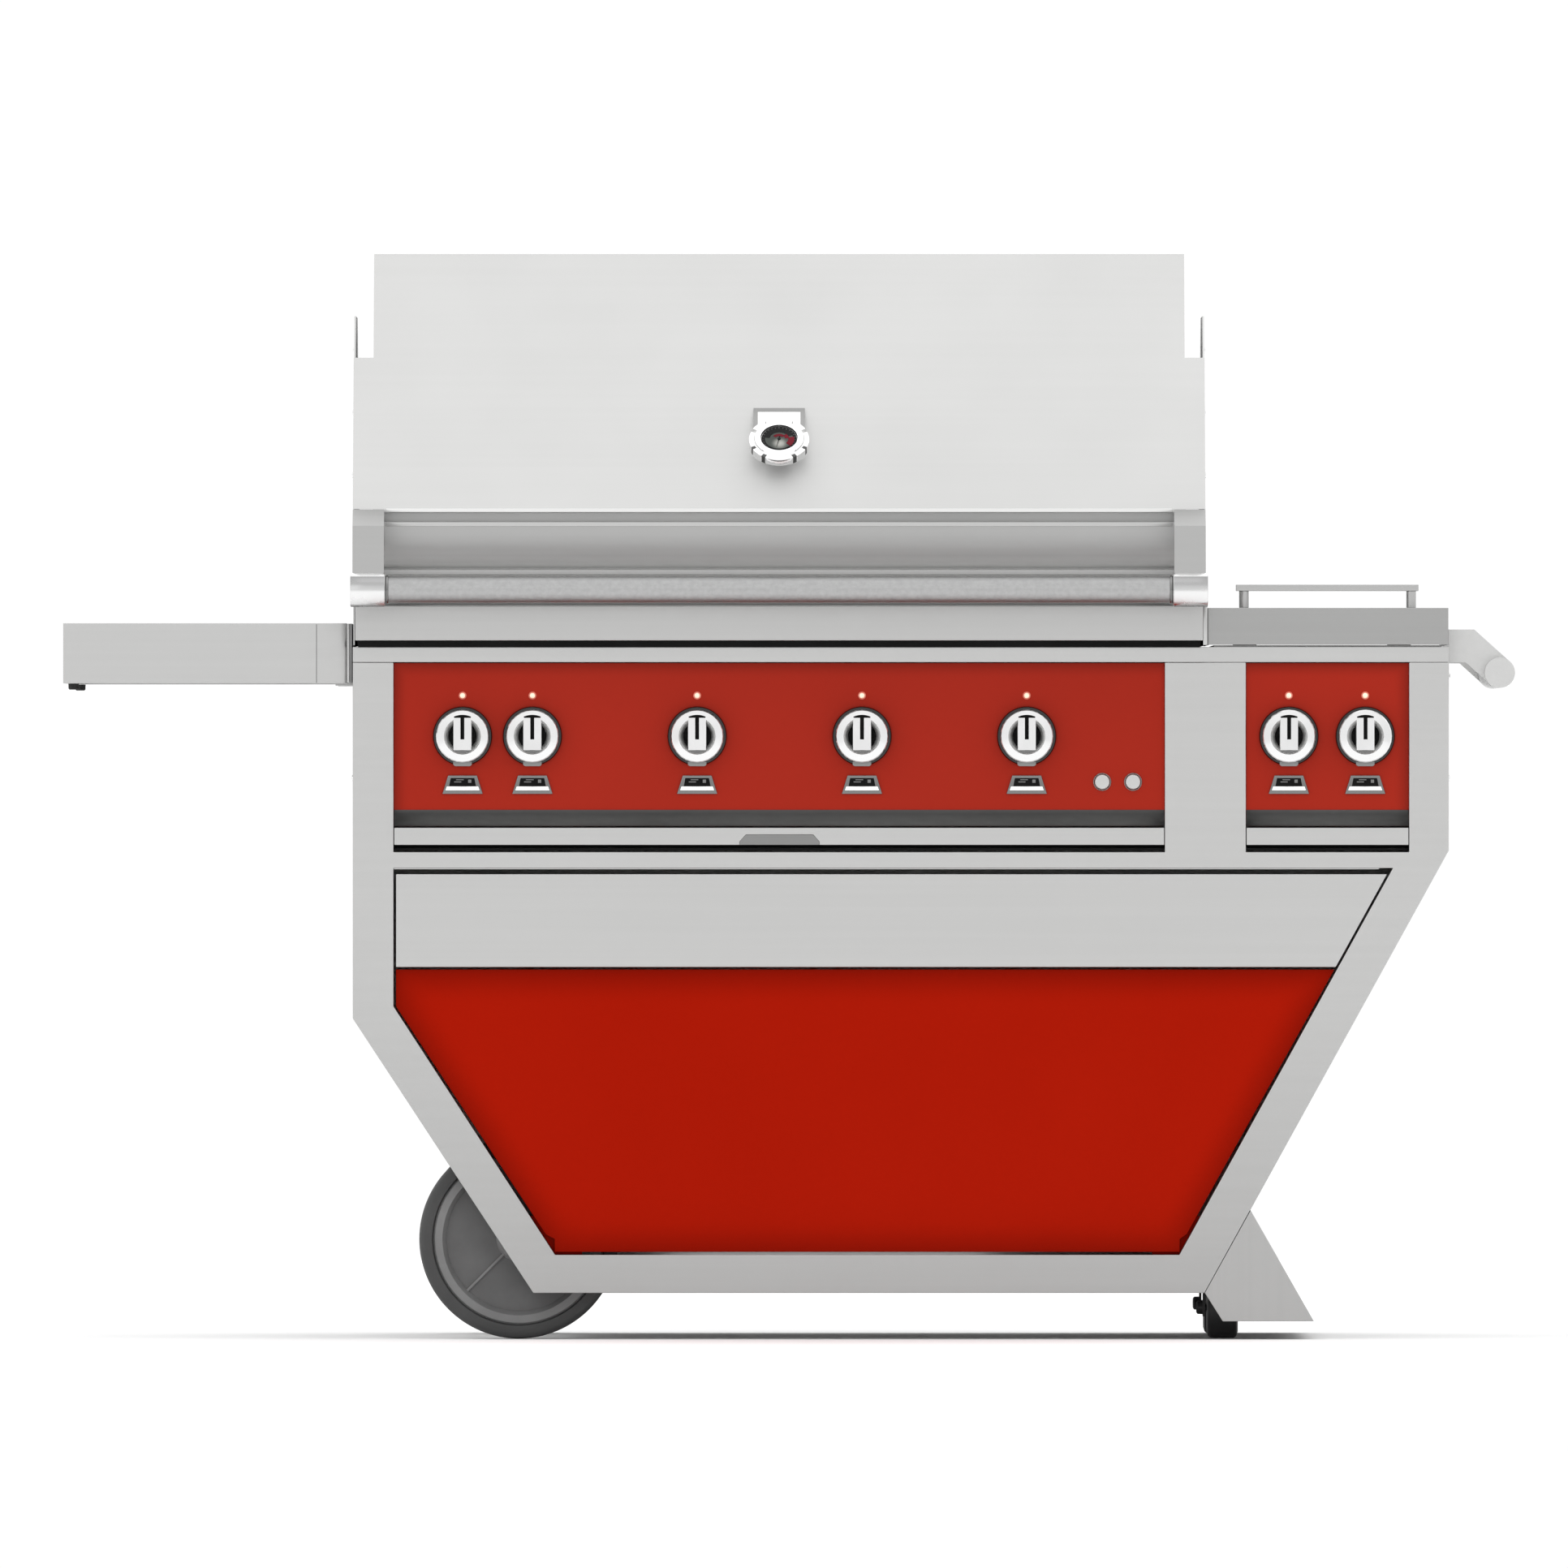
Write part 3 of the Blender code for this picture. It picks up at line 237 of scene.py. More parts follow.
def brushed(name, shade, roughness, grain="x", fine=1500.0, streak=0.010):
    """Sheet steel: fine brush lines, broad streaks along the grain and faint handling marks."""
    base = (shade, shade, shade * 0.99)
    finish = principled(name, base, roughness, 1.0)
    lines = noise_at(finish, fine, 3.0, GRAINS[grain])
    streaks = noise_at(finish, 120.0, 2.0, GRAINS[grain])
    marks = noise_at(finish, 5.0, 4.0)
    drive_colour(finish, streaks, [c * (1 - streak) for c in base], [c * (1 + streak) for c in base])
    drive_roughness(finish, marks, roughness - 0.035, roughness + 0.045)
    drive_bump(finish, lines, 0.10, 0.0002)
    return finish


def polished(name, shade, roughness=0.07):
    """Chrome plate under a thin, uneven haze."""
    finish = principled(name, (shade, shade, shade), roughness, 1.0)
    haze = noise_at(finish, 40.0, 3.0)
    drive_roughness(finish, haze, roughness * 0.7, roughness * 1.6)
    drive_colour(finish, haze, [shade * 0.97] * 3, [shade] * 3)
    return finish


def enamel(name, dark, light, roughness, gloss):
    """Red baked enamel: orange peel in the clear layer and a barely uneven colour."""
    finish = principled(name, light, roughness)
    set_even(finish, Specular_IOR_Level=gloss)
    peel = noise_at(finish, 420.0, 2.0)
    cloud = noise_at(finish, 2.4, 3.0)
    drive_colour(finish, cloud, dark, light, 0.3, 0.7)
    drive_bump(finish, peel, 0.07, 0.0002)
    return finish


def cast(name, dark, light, roughness, pit=0.30, metallic=0.25):
    """Cast metal: pitted, with broad clouds of light and dark."""
    finish = principled(name, light, roughness, metallic)
    grain = noise_at(finish, 700.0, 4.0)
    cloud = noise_at(finish, 30.0, 3.0)
    drive_colour(finish, cloud, dark, light)
    drive_roughness(finish, cloud, roughness - 0.1, roughness + 0.1)
    drive_bump(finish, grain, pit, 0.0006)
    return finish


def moulded(name, dark, light, roughness, grain_scale=900.0):
    """Rubber and plastic: a fine moulded grain and some dust in the hollows."""
    finish = principled(name, light, roughness)
    grain = noise_at(finish, grain_scale, 3.0)
    dust = noise_at(finish, 18.0, 4.0)
    drive_colour(finish, dust, dark, light)
    drive_roughness(finish, dust, roughness - 0.06, roughness + 0.08)
    drive_bump(finish, grain, 0.12, 0.0004)
    return finish


def heat_tinted(name, shade, roughness):
    """Inner steel that has been hot: straw and blue tints in broad clouds."""
    straw = (shade * 0.82, shade * 0.74, shade * 0.62)
    blue = (shade, shade, shade * 1.04)
    finish = principled(name, (shade, shade, shade), roughness, 1.0)
    cloud = noise_at(finish, 7.0, 4.0)
    lines = noise_at(finish, 1200.0, 2.0, GRAINS["x"])
    drive_colour(finish, cloud, straw, blue)
    drive_roughness(finish, cloud, roughness - 0.05, roughness + 0.12)
    drive_bump(finish, lines, 0.10, 0.0002)
    return finish


def peened(name, shade, roughness):
    """The hood handle's grip: small peened facets all over the tube."""
    finish = principled(name, (shade, shade, shade), roughness, 1.0)
    cells = add_node(finish, "ShaderNodeTexVoronoi", Scale=520.0, feature="SMOOTH_F1")
    connect(finish, object_space(finish), cells.inputs["Vector"])
    streaks = noise_at(finish, 160.0, 3.0)
    drive_colour(finish, streaks, [shade * 0.95] * 3, [shade * 1.05] * 3)
    drive_bump(finish, cells.outputs["Distance"], 0.28, 0.0008)
    return finish


# Sheet steel. Some sheets also carry painted light and shade by height, by pairs of (height, shade).
STEEL_X, STEEL_Y, STEEL_Z = (brushed(f"brushed_steel_{grain}", 0.520, 0.34, grain) for grain in "xyz")
FRAME_STEEL = brushed("frame_steel", 0.520, 0.34)
# Painted shade that deepens towards the frame's foot.
FRAME_PAINTED_SHADE = ((0.06, 0.80), (0.42, 0.97), (0.55, 1.0))
# The rail and foot steel are darker copies of the plain steel: painted shade.
RAIL_STEEL = brushed("head_rail_steel", 0.492, 0.34)
FOOT_STEEL = brushed("foot_steel", 0.425, 0.36, "z")
HOOD_STEEL = brushed("hood_steel", 0.640, 0.48, "x", 1800.0, 0.006)
set_even(HOOD_STEEL, Metallic=0.65)
# Painted light and shade on the hood's lower edge, roll and beads, by height.
HOOD_PAINTED_LIGHT_AND_SHADE = (
    (0.950, 0.92),
    (0.957, 0.68),
    (0.963, 1.00),
    (0.969, 0.79),
    (0.978, 0.58),
    (0.990, 0.71),
    (1.000, 0.65),
    (1.014, 0.65),
    (1.026, 0.70),
    (1.031, 0.72),
    (1.035, 0.833),
)
# The side lid and its handle steel are darker copies of the plain steel: painted shade.
LID_STEEL = brushed("side_lid_steel", 0.366, 0.36)
LID_HANDLE_STEEL = brushed("lid_handle_steel", 0.460, 0.30)
# A dark steel for the strip under the hood's lip: painted shade.
LIP_SHADE_STEEL = brushed("hood_lip_painted_shade", 0.280, 0.34)
# A dark steel for the tray notch's floor: painted shade.
NOTCH_SHADE_STEEL = brushed("tray_notch_painted_shade", 0.255, 0.34)
# The push handle steel is a lighter copy of the plain steel: painted light.
PALE_STEEL = brushed("push_handle_steel", 0.585, 0.42, "y")
ARM_STEEL = brushed("handle_arm_steel", 0.410, 0.30)
# A bright steel for the hood's edge bead: painted highlight.
HIGHLIGHT_STEEL = brushed("painted_highlight_steel", 0.760, 0.30)
# The lower trim's steel, with painted shade that deepens towards its top.
TRIM_STEEL = brushed("lower_trim_steel", 0.950, 0.50)
TRIM_PAINTED_SHADE = ((0.6410, 1.0), (0.6440, 0.90), (0.6480, 0.62), (0.6520, 0.40), (0.6560, 0.20), (0.6607, 0.14))
# A grey steel for strips on the thermometer block: painted shade.
CHEEK_SHADE_STEEL = brushed("thermometer_cheek_painted_shade", 0.300, 0.30, "z")
# A dark grey for the bezel's notch floors: painted shade.
NOTCH_SHADE_GREY = brushed("thermometer_notch_painted_shade", 0.090, 0.35, "z")
LUG_GREY = brushed("lug_grey", 0.24, 0.30)
WELL_GREY = brushed("knob_well_grey", 0.86, 0.48)
BADGE = brushed("badge_grey", 0.20, 0.22)
BUTTON = brushed("button_aluminium", 0.56, 0.38, "x", 2600.0)
INNER = heat_tinted("inner_steel", 0.45, 0.42)
BURNER_STEEL = heat_tinted("burner_steel", 0.34, 0.50)
PEENED = peened("peened_steel", 0.64, 0.42)
# Painted shade at the grip's top and bottom, lightest a little above its middle.
PEENED_PAINTED_SHADE = (
    (0.9185, 0.44),
    (0.9220, 0.47),
    (0.9260, 0.58),
    (0.9300, 0.65),
    (0.9380, 0.66),
    (0.9430, 0.52),
    (0.9515, 0.46),
)

# Plated and cast metal.
CHROME = polished("chrome", 0.88)
# The knob and thermometer chrome are dimmer copies of the plain chrome: painted shade.
KNOB_CHROME = polished("knob_chrome", 0.80, 0.12)
CHROME_SOFT = polished("chrome_soft", 0.84, 0.16)
BLOCK_CHROME = polished("thermometer_chrome", 0.86, 0.12)
CAP_CHROME = polished("handle_cap_chrome", 0.86, 0.22)
# Painted shade on the handle caps' lower edge and upper part, and a painted highlight along their top.
CAP_PAINTED_LIGHT_AND_SHADE = ((0.9150, 0.40), (0.9175, 0.92), (0.9320, 0.90), (0.9420, 0.43), (0.9510, 0.32), (0.9530, 1.0))
BEZEL_BLACK = polished("black_chrome", 0.05, 0.18)
IRON = cast("cast_iron", (0.020, 0.020, 0.021), (0.045, 0.045, 0.047), 0.50)
BRASS = cast("cast_brass", (0.48, 0.31, 0.09), (0.66, 0.46, 0.17), 0.30, 0.08, 1.0)

# Painted light and shade by height on these finishes.
for finish, shades in (
    (FRAME_STEEL, FRAME_PAINTED_SHADE),
    (HOOD_STEEL, HOOD_PAINTED_LIGHT_AND_SHADE),
    (TRIM_STEEL, TRIM_PAINTED_SHADE),
    (CAP_CHROME, CAP_PAINTED_LIGHT_AND_SHADE),
    (PEENED, PEENED_PAINTED_SHADE),
):
    paint_shading_by_height(finish, shades)

# Enamel, with painted shade towards its edges.
RED = enamel("red_enamel", (0.326, 0.017, 0.007), (0.350, 0.019, 0.008), 0.34, 0.08)
DOOR_RED = enamel("door_red_enamel", (0.342, 0.0070, 0.0006), (0.368, 0.0082, 0.0010), 0.40, 0.02)
PANELS_TOP = (0, 0.8447, 0, -1)
PANELS_LEFT = (-0.4939, 0, 1, 0)
PANELS_RIGHT = (0.7735, 0, -1, 0)
DOOR_TOP = (0, 0.4615, 0, -1)
DOOR_BOTTOM = (0, 0.1054, 0, 1)
DOOR_LEFT = (-0.4939, 0, 1, 0)
DOOR_LEFT_CORNER = (-0.2923, 0.1054, 0.3100, 0.2016)
DOOR_RIGHT = (0.4868, 0.1054, -0.4818, 0.2661)
# Painted shade along the edges of the door and panels, wider along the door's foot.
paint_edge_shade(DOOR_RED, (DOOR_TOP, DOOR_BOTTOM, DOOR_LEFT, DOOR_LEFT_CORNER, DOOR_RIGHT), 0.050, 0.70)
paint_edge_shade(DOOR_RED, (DOOR_BOTTOM,), 0.095, 0.93)
paint_edge_shade(RED, (PANELS_TOP, PANELS_LEFT, PANELS_RIGHT), 0.022, 0.70)

# Rubber, plastic and the dial.
TYRE = moulded("tyre_rubber", (0.040, 0.040, 0.040), (0.054, 0.054, 0.054), 0.62)
RIM = moulded("wheel_rim_plastic", (0.160, 0.160, 0.160), (0.205, 0.205, 0.205), 0.48, 500.0)
DISC = moulded("wheel_disc_plastic", (0.090, 0.090, 0.090), (0.122, 0.122, 0.122), 0.55, 500.0)
CASTER_BLACK = moulded("caster_black", (0.018, 0.018, 0.018), (0.032, 0.032, 0.033), 0.45)
# The shelf's gap strips are grey rubber that paints the shade in the gap between shelf and head.
SHELF_GAP_SHADE = moulded("shelf_gap_painted_shade", (0.17, 0.17, 0.17), (0.21, 0.21, 0.21), 0.60)
RUBBER = moulded("bumper_rubber", (0.010, 0.010, 0.010), (0.022, 0.022, 0.022), 0.75)
# Black for the needle, pointers and windows, and also for strips, discs and blocks that paint the shade in
# gaps, ports and slots.
BLACK_AND_GAP_SHADE = moulded("black_and_painted_gap_shade", (0.004, 0.004, 0.004), (0.008, 0.008, 0.008), 0.80)
DIAL_BLACK = moulded("dial_black", (0.008, 0.008, 0.008), (0.014, 0.014, 0.014), 0.42, 1200.0)
DIAL_RED = moulded("dial_red", (0.120, 0.005, 0.012), (0.170, 0.008, 0.018), 0.45)
DIAL_FIELD = moulded("dial_field", (0.060, 0.066, 0.060), (0.080, 0.088, 0.080), 0.50)
for finish in (BLACK_AND_GAP_SHADE, DIAL_BLACK, DIAL_RED, DIAL_FIELD):
    set_even(finish, Specular_IOR_Level=0.10)
CERAMIC = moulded("burner_ceramic", (0.50, 0.46, 0.40), (0.64, 0.60, 0.53), 0.70, 300.0)
LAMP_RING = moulded("lamp_ring", (0.62, 0.15, 0.10), (0.70, 0.20, 0.14), 0.35)
LAMP = principled("lamp_glow", (1.0, 0.90, 0.78), 0.30)
set_even(LAMP, Emission_Strength=0.32, Emission_Color=(1.0, 0.74, 0.52, 1))
drive_colour(LAMP, noise_at(LAMP, 500.0, 2.0), (0.90, 0.70, 0.56), (0.95, 0.78, 0.64))


# Modelling.

# The angle at which a scene piece shades as creased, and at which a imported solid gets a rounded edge.
CREASE = math.radians(40)
SOLID_CREASE = math.radians(32)
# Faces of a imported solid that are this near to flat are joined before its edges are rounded.
FLATNESS = math.radians(0.6)
SAME_PLACE = 0.00001


def finished(name, bm, finish, body):
    """A mesh piece from a bmesh, riding on a body and taking the finish it is given."""
    bmesh.ops.recalc_face_normals(bm, faces=bm.faces)
    mesh = bpy.data.meshes.new(name)
    bm.to_mesh(mesh)
    bm.free()
    mesh.materials.append(finish)
    mesh.shade_smooth()
    mesh.set_sharp_from_angle(angle=CREASE)
    piece = bpy.data.objects.new(name, mesh)
    bpy.context.scene.collection.objects.link(piece)
    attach(piece, body)
    return piece


def moved(bm, matrix):
    bmesh.ops.transform(bm, matrix=matrix, verts=bm.verts)
    return bm


def turn_to(axis):
    return Vector(axis).to_track_quat("Z", "Y").to_matrix().to_4x4()


def lathe(name, profile, place, axis, finish, body, steps=64):
    """A turned piece. The profile is (radius, height) pairs, height along the axis from place."""
    bm = bmesh.new()
    rings = [bm.verts.new((radius, 0, height)) for radius, height in profile]
    edges = [bm.edges.new(pair) for pair in zip(rings, rings[1:])]
    bmesh.ops.spin(
        bm,
        geom=rings + edges,
        cent=(0, 0, 0),
        axis=(0, 0, 1),
        dvec=(0, 0, 0),
        angle=2 * math.pi,
        steps=steps,
        use_merge=True,
    )
    bmesh.ops.remove_doubles(bm, verts=bm.verts, dist=1e-6)
    return finished(name, moved(bm, Matrix.Translation(place) @ turn_to(axis)), finish, body)


AXES = {
    "x": Matrix(((0, 0, 1, 0), (1, 0, 0, 0), (0, 1, 0, 0), (0, 0, 0, 1))),
    "y": Matrix(((1, 0, 0, 0), (0, 0, -1, 0), (0, 1, 0, 0), (0, 0, 0, 1))),
    "z": Matrix.Identity(4),
}


def prism_mesh(outline, axis, span, bevel=0.0, segments=2):
    """A bmesh of an outline thickened between two places along an axis, with its edges rounded."""
    bm = bmesh.new()
    sign = -1 if axis == "y" else 1
    start, end = (sign * span[0], sign * span[1])
    base = [bm.verts.new((u, v, start)) for u, v in outline]
    face = bm.faces.new(base)
    made = bmesh.ops.extrude_face_region(bm, geom=[face])["geom"]
    lifted = [item for item in made if isinstance(item, bmesh.types.BMVert)]
    bmesh.ops.translate(bm, vec=(0, 0, end - start), verts=lifted)
    bmesh.ops.recalc_face_normals(bm, faces=bm.faces)
    if bevel:
        bmesh.ops.bevel(
            bm,
            geom=bm.edges[:],
            offset=bevel,
            segments=segments,
            profile=0.5,
            affect="EDGES",
            clamp_overlap=True,
        )
    return moved(bm, AXES[axis])


def prism(name, outline, axis, span, finish, body, bevel=0.0005):
    return finished(name, prism_mesh(outline, axis, span, bevel), finish, body)


def rectangle(x, y):
    return [(x[0], y[0]), (x[1], y[0]), (x[1], y[1]), (x[0], y[1])]


def bar(name, x, y, z, finish, body, bevel=0.0005):
    """A straight bar with rounded edges."""
    return prism(name, rectangle(x, y), "z", z, finish, body, bevel)


def arc_outline(inner, outer, start, end, steps, centre=(0, 0)):
    """The outline of part of a flat ring, between two radii and between two angles in degrees."""
    turns = [math.radians(start + (end - start) * i / steps) for i in range(steps + 1)]
    u, v = centre
    outline = [(u + outer * math.cos(t), v + outer * math.sin(t)) for t in turns]
    return outline + [(u + inner * math.cos(t), v + inner * math.sin(t)) for t in reversed(turns)]


def merge(name, meshes, finish, body):
    """One piece from several bmeshes."""
    whole = bmesh.new()
    for bm in meshes:
        part = bpy.data.meshes.new(name)
        bm.to_mesh(part)
        bm.free()
        whole.from_mesh(part)
        bpy.data.meshes.remove(part)
    return finished(name, whole, finish, body)


def soften(node, finish, width):
    """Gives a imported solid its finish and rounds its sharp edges, without touching its mesh."""
    obj = NODES[node]
    obj.data.materials.clear()
    obj.data.materials.append(finish)
    obj.data.shade_smooth()
    weld = obj.modifiers.new("weld", "WELD")
    weld.merge_threshold = SAME_PLACE
    flat = obj.modifiers.new("join_flat_faces", "DECIMATE")
    flat.decimate_type = "DISSOLVE"
    flat.angle_limit = FLATNESS
    if width:
        edges = obj.modifiers.new("edges", "BEVEL")
        edges.width = width
        edges.segments = 2
        edges.limit_method = "ANGLE"
        edges.angle_limit = SOLID_CREASE
        edges.use_clamp_overlap = True
    obj.modifiers.new("normals", "WEIGHTED_NORMAL").keep_sharp = True


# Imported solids: each group's finish and the width of its rounded edges, where 0 rounds none.

SOLIDS = (
    (FRAME_STEEL, 0.0010, ["front_frame"]),
    (STEEL_X, 0.0005, ["base_panel"]),
    (STEEL_X, 0.0006, ["rear_panel"]),
    (STEEL_X, 0.0008, ["top_deck", "side_burner_pan", "drip_tray", "side_drip_tray"]),
    (STEEL_X, 0.0010, ["left_shelf", "utility_drawer"]),
    (STEEL_X, 0.0004, ["door_hinge_pin"]),
    (STEEL_Y, 0.0005, ["left_side_panel", "right_side_panel"]),
    (STEEL_Z, 0.0005, ["hood_side_plate_left", "hood_side_plate_right"]),
    (STEEL_Z, 0.0006, ["shelf_hinge"]),
    (RAIL_STEEL, 0.0010, ["firebox"]),
    (HOOD_STEEL, 0.0010, ["hood_shell"]),
    (LID_STEEL, 0.0010, ["side_burner_lid"]),
    (LID_HANDLE_STEEL, 0.0006, ["lid_handle"]),
    (FOOT_STEEL, 0.0008, ["right_foot"]),
    (PALE_STEEL, 0.0008, ["push_handle"]),
    (ARM_STEEL, 0.0008, ["handle_bracket_left", "handle_bracket_right"]),
    (PEENED, 0, ["hood_handle_tube"]),
    (BLOCK_CHROME, 0.0008, ["thermometer_housing"]),
    (KNOB_CHROME, 0.0005, [f"knob_{key}" for key in KNOBS]),
    (BUTTON, 0.0006, ["button_ignition", "button_light"]),
    (RED, 0.0007, ["control_panel_main", "control_panel_side"]),
    (DOOR_RED, 0.0008, ["lower_door"]),
    (INNER, 0.0010, ["rear_infrared_burner"]),
    (INNER, 0.0006, ["radiant_tray"]),
    (BURNER_STEEL, 0.0006, [f"main_burner_{number}" for number in range(1, 5)]),
    (CHROME_SOFT, 0, ["cooking_grate_left", "cooking_grate_middle", "cooking_grate_right", "warming_rack"]),
    (CHROME_SOFT, 0.0006, ["hood_pivot_pin_left", "hood_pivot_pin_right", "wheel_axle"]),
    (BRASS, 0.0005, ["gas_manifold"]),
    (BRASS, 0.0006, ["side_burner_front", "side_burner_rear"]),
    (IRON, 0.0008, ["side_burner_grate"]),
    (RIM, 0.0008, ["wheel_front", "wheel_rear"]),
    (CASTER_BLACK, 0.0008, ["caster_fork_front", "caster_fork_rear"]),
    (CASTER_BLACK, 0.0010, ["caster_wheel_front", "caster_wheel_rear"]),
)
for finish, width, nodes in SOLIDS:
    for node in nodes:
        soften(node, finish, width)


# Control panel pieces.

KNOB_Z = 0.7527
LAMP_Z = 0.8034
PANEL_BOTTOM = 0.6607
FORWARD = (0, -1, 0)
# The three plain strokes on a badge: left, right, low and top.
MARK_STROKES = (
    (-0.0105, -0.0015, 0.6950, 0.6962),
    (-0.0080, 0.0015, 0.6978, 0.6988),
    (0.0070, 0.0110, 0.6945, 0.6985),
)


def flared(x, low_half, top_half, low, top):
    """An outline in X and Z that is as wide below and above as its two half widths say."""
    return [(x - low_half, low), (x + low_half, low), (x + top_half, top), (x - top_half, top)]


def badge(key, x):
    """A flared tag below a knob, with a dark window and a bright lower slope. It carries no words."""
    y = PANEL_FACE
    plate = flared(x, 0.0252, 0.0180, 0.6806, 0.7036)
    prism(f"badge_plate_{key}", plate, "y", (y - 0.0024, y - 0.0002), BADGE, CART, 0.0006)
    window = flared(x, 0.0168, 0.0148, 0.6902, 0.7004)
    window_y = (y - 0.0028, y - 0.0016)
    prism(f"badge_window_{key}", window, "y", window_y, BLACK_AND_GAP_SHADE, CART, 0.0003)
    slope = bmesh.new()
    front = flared(x, 0.0212, 0.0196, 0.6852, 0.6898)
    lower = [slope.verts.new((u, y - 0.0050, v)) for u, v in front[:2]]
    upper = [slope.verts.new((u, y - 0.0026, v)) for u, v in front[2:]]
    back = [slope.verts.new((u, y - 0.0022, v)) for u, v in front]
    slope.faces.new(lower + upper)
    slope.faces.new(list(reversed(back)))
    slope.faces.new([back[0], back[1], lower[1], lower[0]])
    slope.faces.new([back[1], back[2], upper[0], lower[1]])
    slope.faces.new([back[3], back[0], lower[0], upper[1]])
    slope.faces.new([back[2], back[3], upper[1], upper[0]])
    finished(f"badge_slope_{key}", slope, CHROME, CART)
    strokes = []
    for left, right, low, top in MARK_STROKES:
        stroke = rectangle((x + left, x + right), (low, top))
        strokes.append(prism_mesh(stroke, "y", (y - 0.0031, y - 0.0026)))
    merge(f"badge_mark_{key}", strokes, BADGE, CART)


def knob_bezel(key, x):
    """The dark ring that a knob turns in, with the lug below it."""
    ring = [
        (0.0060, 0.0002),
        (0.0356, 0.0002),
        (0.0370, 0.0014),
        (0.0370, 0.0050),
        (0.0358, 0.0070),
        (0.0335, 0.0076),
        (0.0060, 0.0076),
        (0.0060, 0.0002),
    ]
    place = (x, PANEL_FACE, KNOB_Z)
    lathe(f"knob_bezel_{key}", ring, place, FORWARD, BEZEL_BLACK, CART)
    lug_edge = [(0.0118, -0.0318), (0.0116, -0.0360), (0.0092, -0.0376)]
    lug = prism_mesh(lug_edge + [(-u, v) for u, v in reversed(lug_edge)], "y", (-0.0079, -0.0006), 0.0006)
    merge(f"knob_lug_{key}", [moved(lug, Matrix.Translation(place))], LUG_GREY, CART)


def lamp(key, x):
    """The small domed lamp above a knob, in its collar."""
    place = (x, PANEL_FACE, LAMP_Z)
    dome = [(0, 0.0027), (0.0016, 0.0025), (0.0028, 0.0016), (0.0034, 0.0006), (0.0034, 0.0001), (0, 0.0001)]
    lathe(f"lamp_{key}", dome, place, FORWARD, LAMP, CART, 32)
    collar = [(0.0034, 0.0001), (0.0034, 0.0009), (0.0046, 0.0009), (0.0050, 0.0001), (0.0034, 0.0001)]
    lathe(f"lamp_collar_{key}", collar, place, FORWARD, LAMP_RING, CART, 32)


def segment(radius, chord, side):
    """The part of a disc beyond a chord, as an outline in X and Z about its centre."""
    steps = 24
    reach = math.acos(chord / radius)
    turns = [-reach + 2 * reach * i / steps for i in range(steps + 1)]
    return [(side * radius * math.cos(t), side * radius * math.sin(t)) for t in turns]


def knob_arc(x, start, end, inner, outer, heights):
    """A thin arc on a knob's face, between two angles in degrees."""
    outline = arc_outline(inner, outer, start, end, 16, (x, KNOB_Z))
    return prism_mesh(outline, "y", [PANEL_FACE - height for height in heights])


def knob_inlays(key, x):
    """A knob's black floors beside its grip, its pointer line with a crossbar, its well and its step."""
    body, y = f"knob_{key}_body", PANEL_FACE
    floors = []
    for side in (-1, 1):
        outline = [(x + u, KNOB_Z + v) for u, v in segment(0.0173, 0.0113, side)]
        floors.append(prism_mesh(outline, "y", (y - 0.0130, y - 0.0121)))
    merge(f"knob_floor_{key}", floors, BLACK_AND_GAP_SHADE, body)
    pointer = rectangle((x - 0.0024, x + 0.0024), (KNOB_Z - 0.0041, KNOB_Z + 0.0238))
    line = prism_mesh(pointer, "y", (y - 0.0300, y - 0.0281))
    crossbar = knob_arc(x, 66, 114, 0.0229, 0.0266, (0.0270, 0.0256))
    merge(f"knob_pointer_{key}", [line, crossbar], BLACK_AND_GAP_SHADE, body)
    well = [(0.0173, 0.0122), (0.0216, 0.0250), (0.0221, 0.0254), (0.0178, 0.0121), (0.0173, 0.0122)]
    lathe(f"knob_well_{key}", well, (x, y, KNOB_Z), FORWARD, WELL_GREY, body)
    step = knob_arc(x, 236, 304, 0.0180, 0.0212, (0.0245, 0.0225))
    merge(f"knob_step_{key}", [step], BADGE, body)


for key in KNOBS:
    knob_x = middle(f"knob_{key}").x
    badge(key, knob_x)
    knob_bezel(key, knob_x)
    lamp(key, knob_x)
    knob_inlays(key, knob_x)

for key in ("ignition", "light"):
    button = middle(f"button_{key}")
    ring = [(0.0100, 0.0002), (0.0100, 0.0016), (0.0106, 0.0022), (0.0112, 0.0016), (0.0114, 0.0002)]
    place = (button.x, PANEL_FACE, button.z)
    lathe(f"button_ring_{key}", [*ring, ring[0]], place, FORWARD, BUTTON, CART, 48)


def lower_trim(name, low, high):
    """The steel strip that slopes back under a red panel, with painted shade that deepens towards its top."""
    y, foot = PANEL_FACE, PANEL_BOTTOM - 0.0200
    outline = [(y - 0.0012, PANEL_BOTTOM), (y - 0.0002, PANEL_BOTTOM), (-0.2618, foot), (-0.2630, foot)]
    prism(name, outline, "x", (low.x + 0.0002, high.x - 0.0002), TRIM_STEEL, CART, 0.0003)


lower_trim("panel_trim_main", PANEL_LOW, PANEL_HIGH)
lower_trim("panel_trim_side", SIDE_PANEL_LOW, SIDE_PANEL_HIGH)


# Hood pieces.

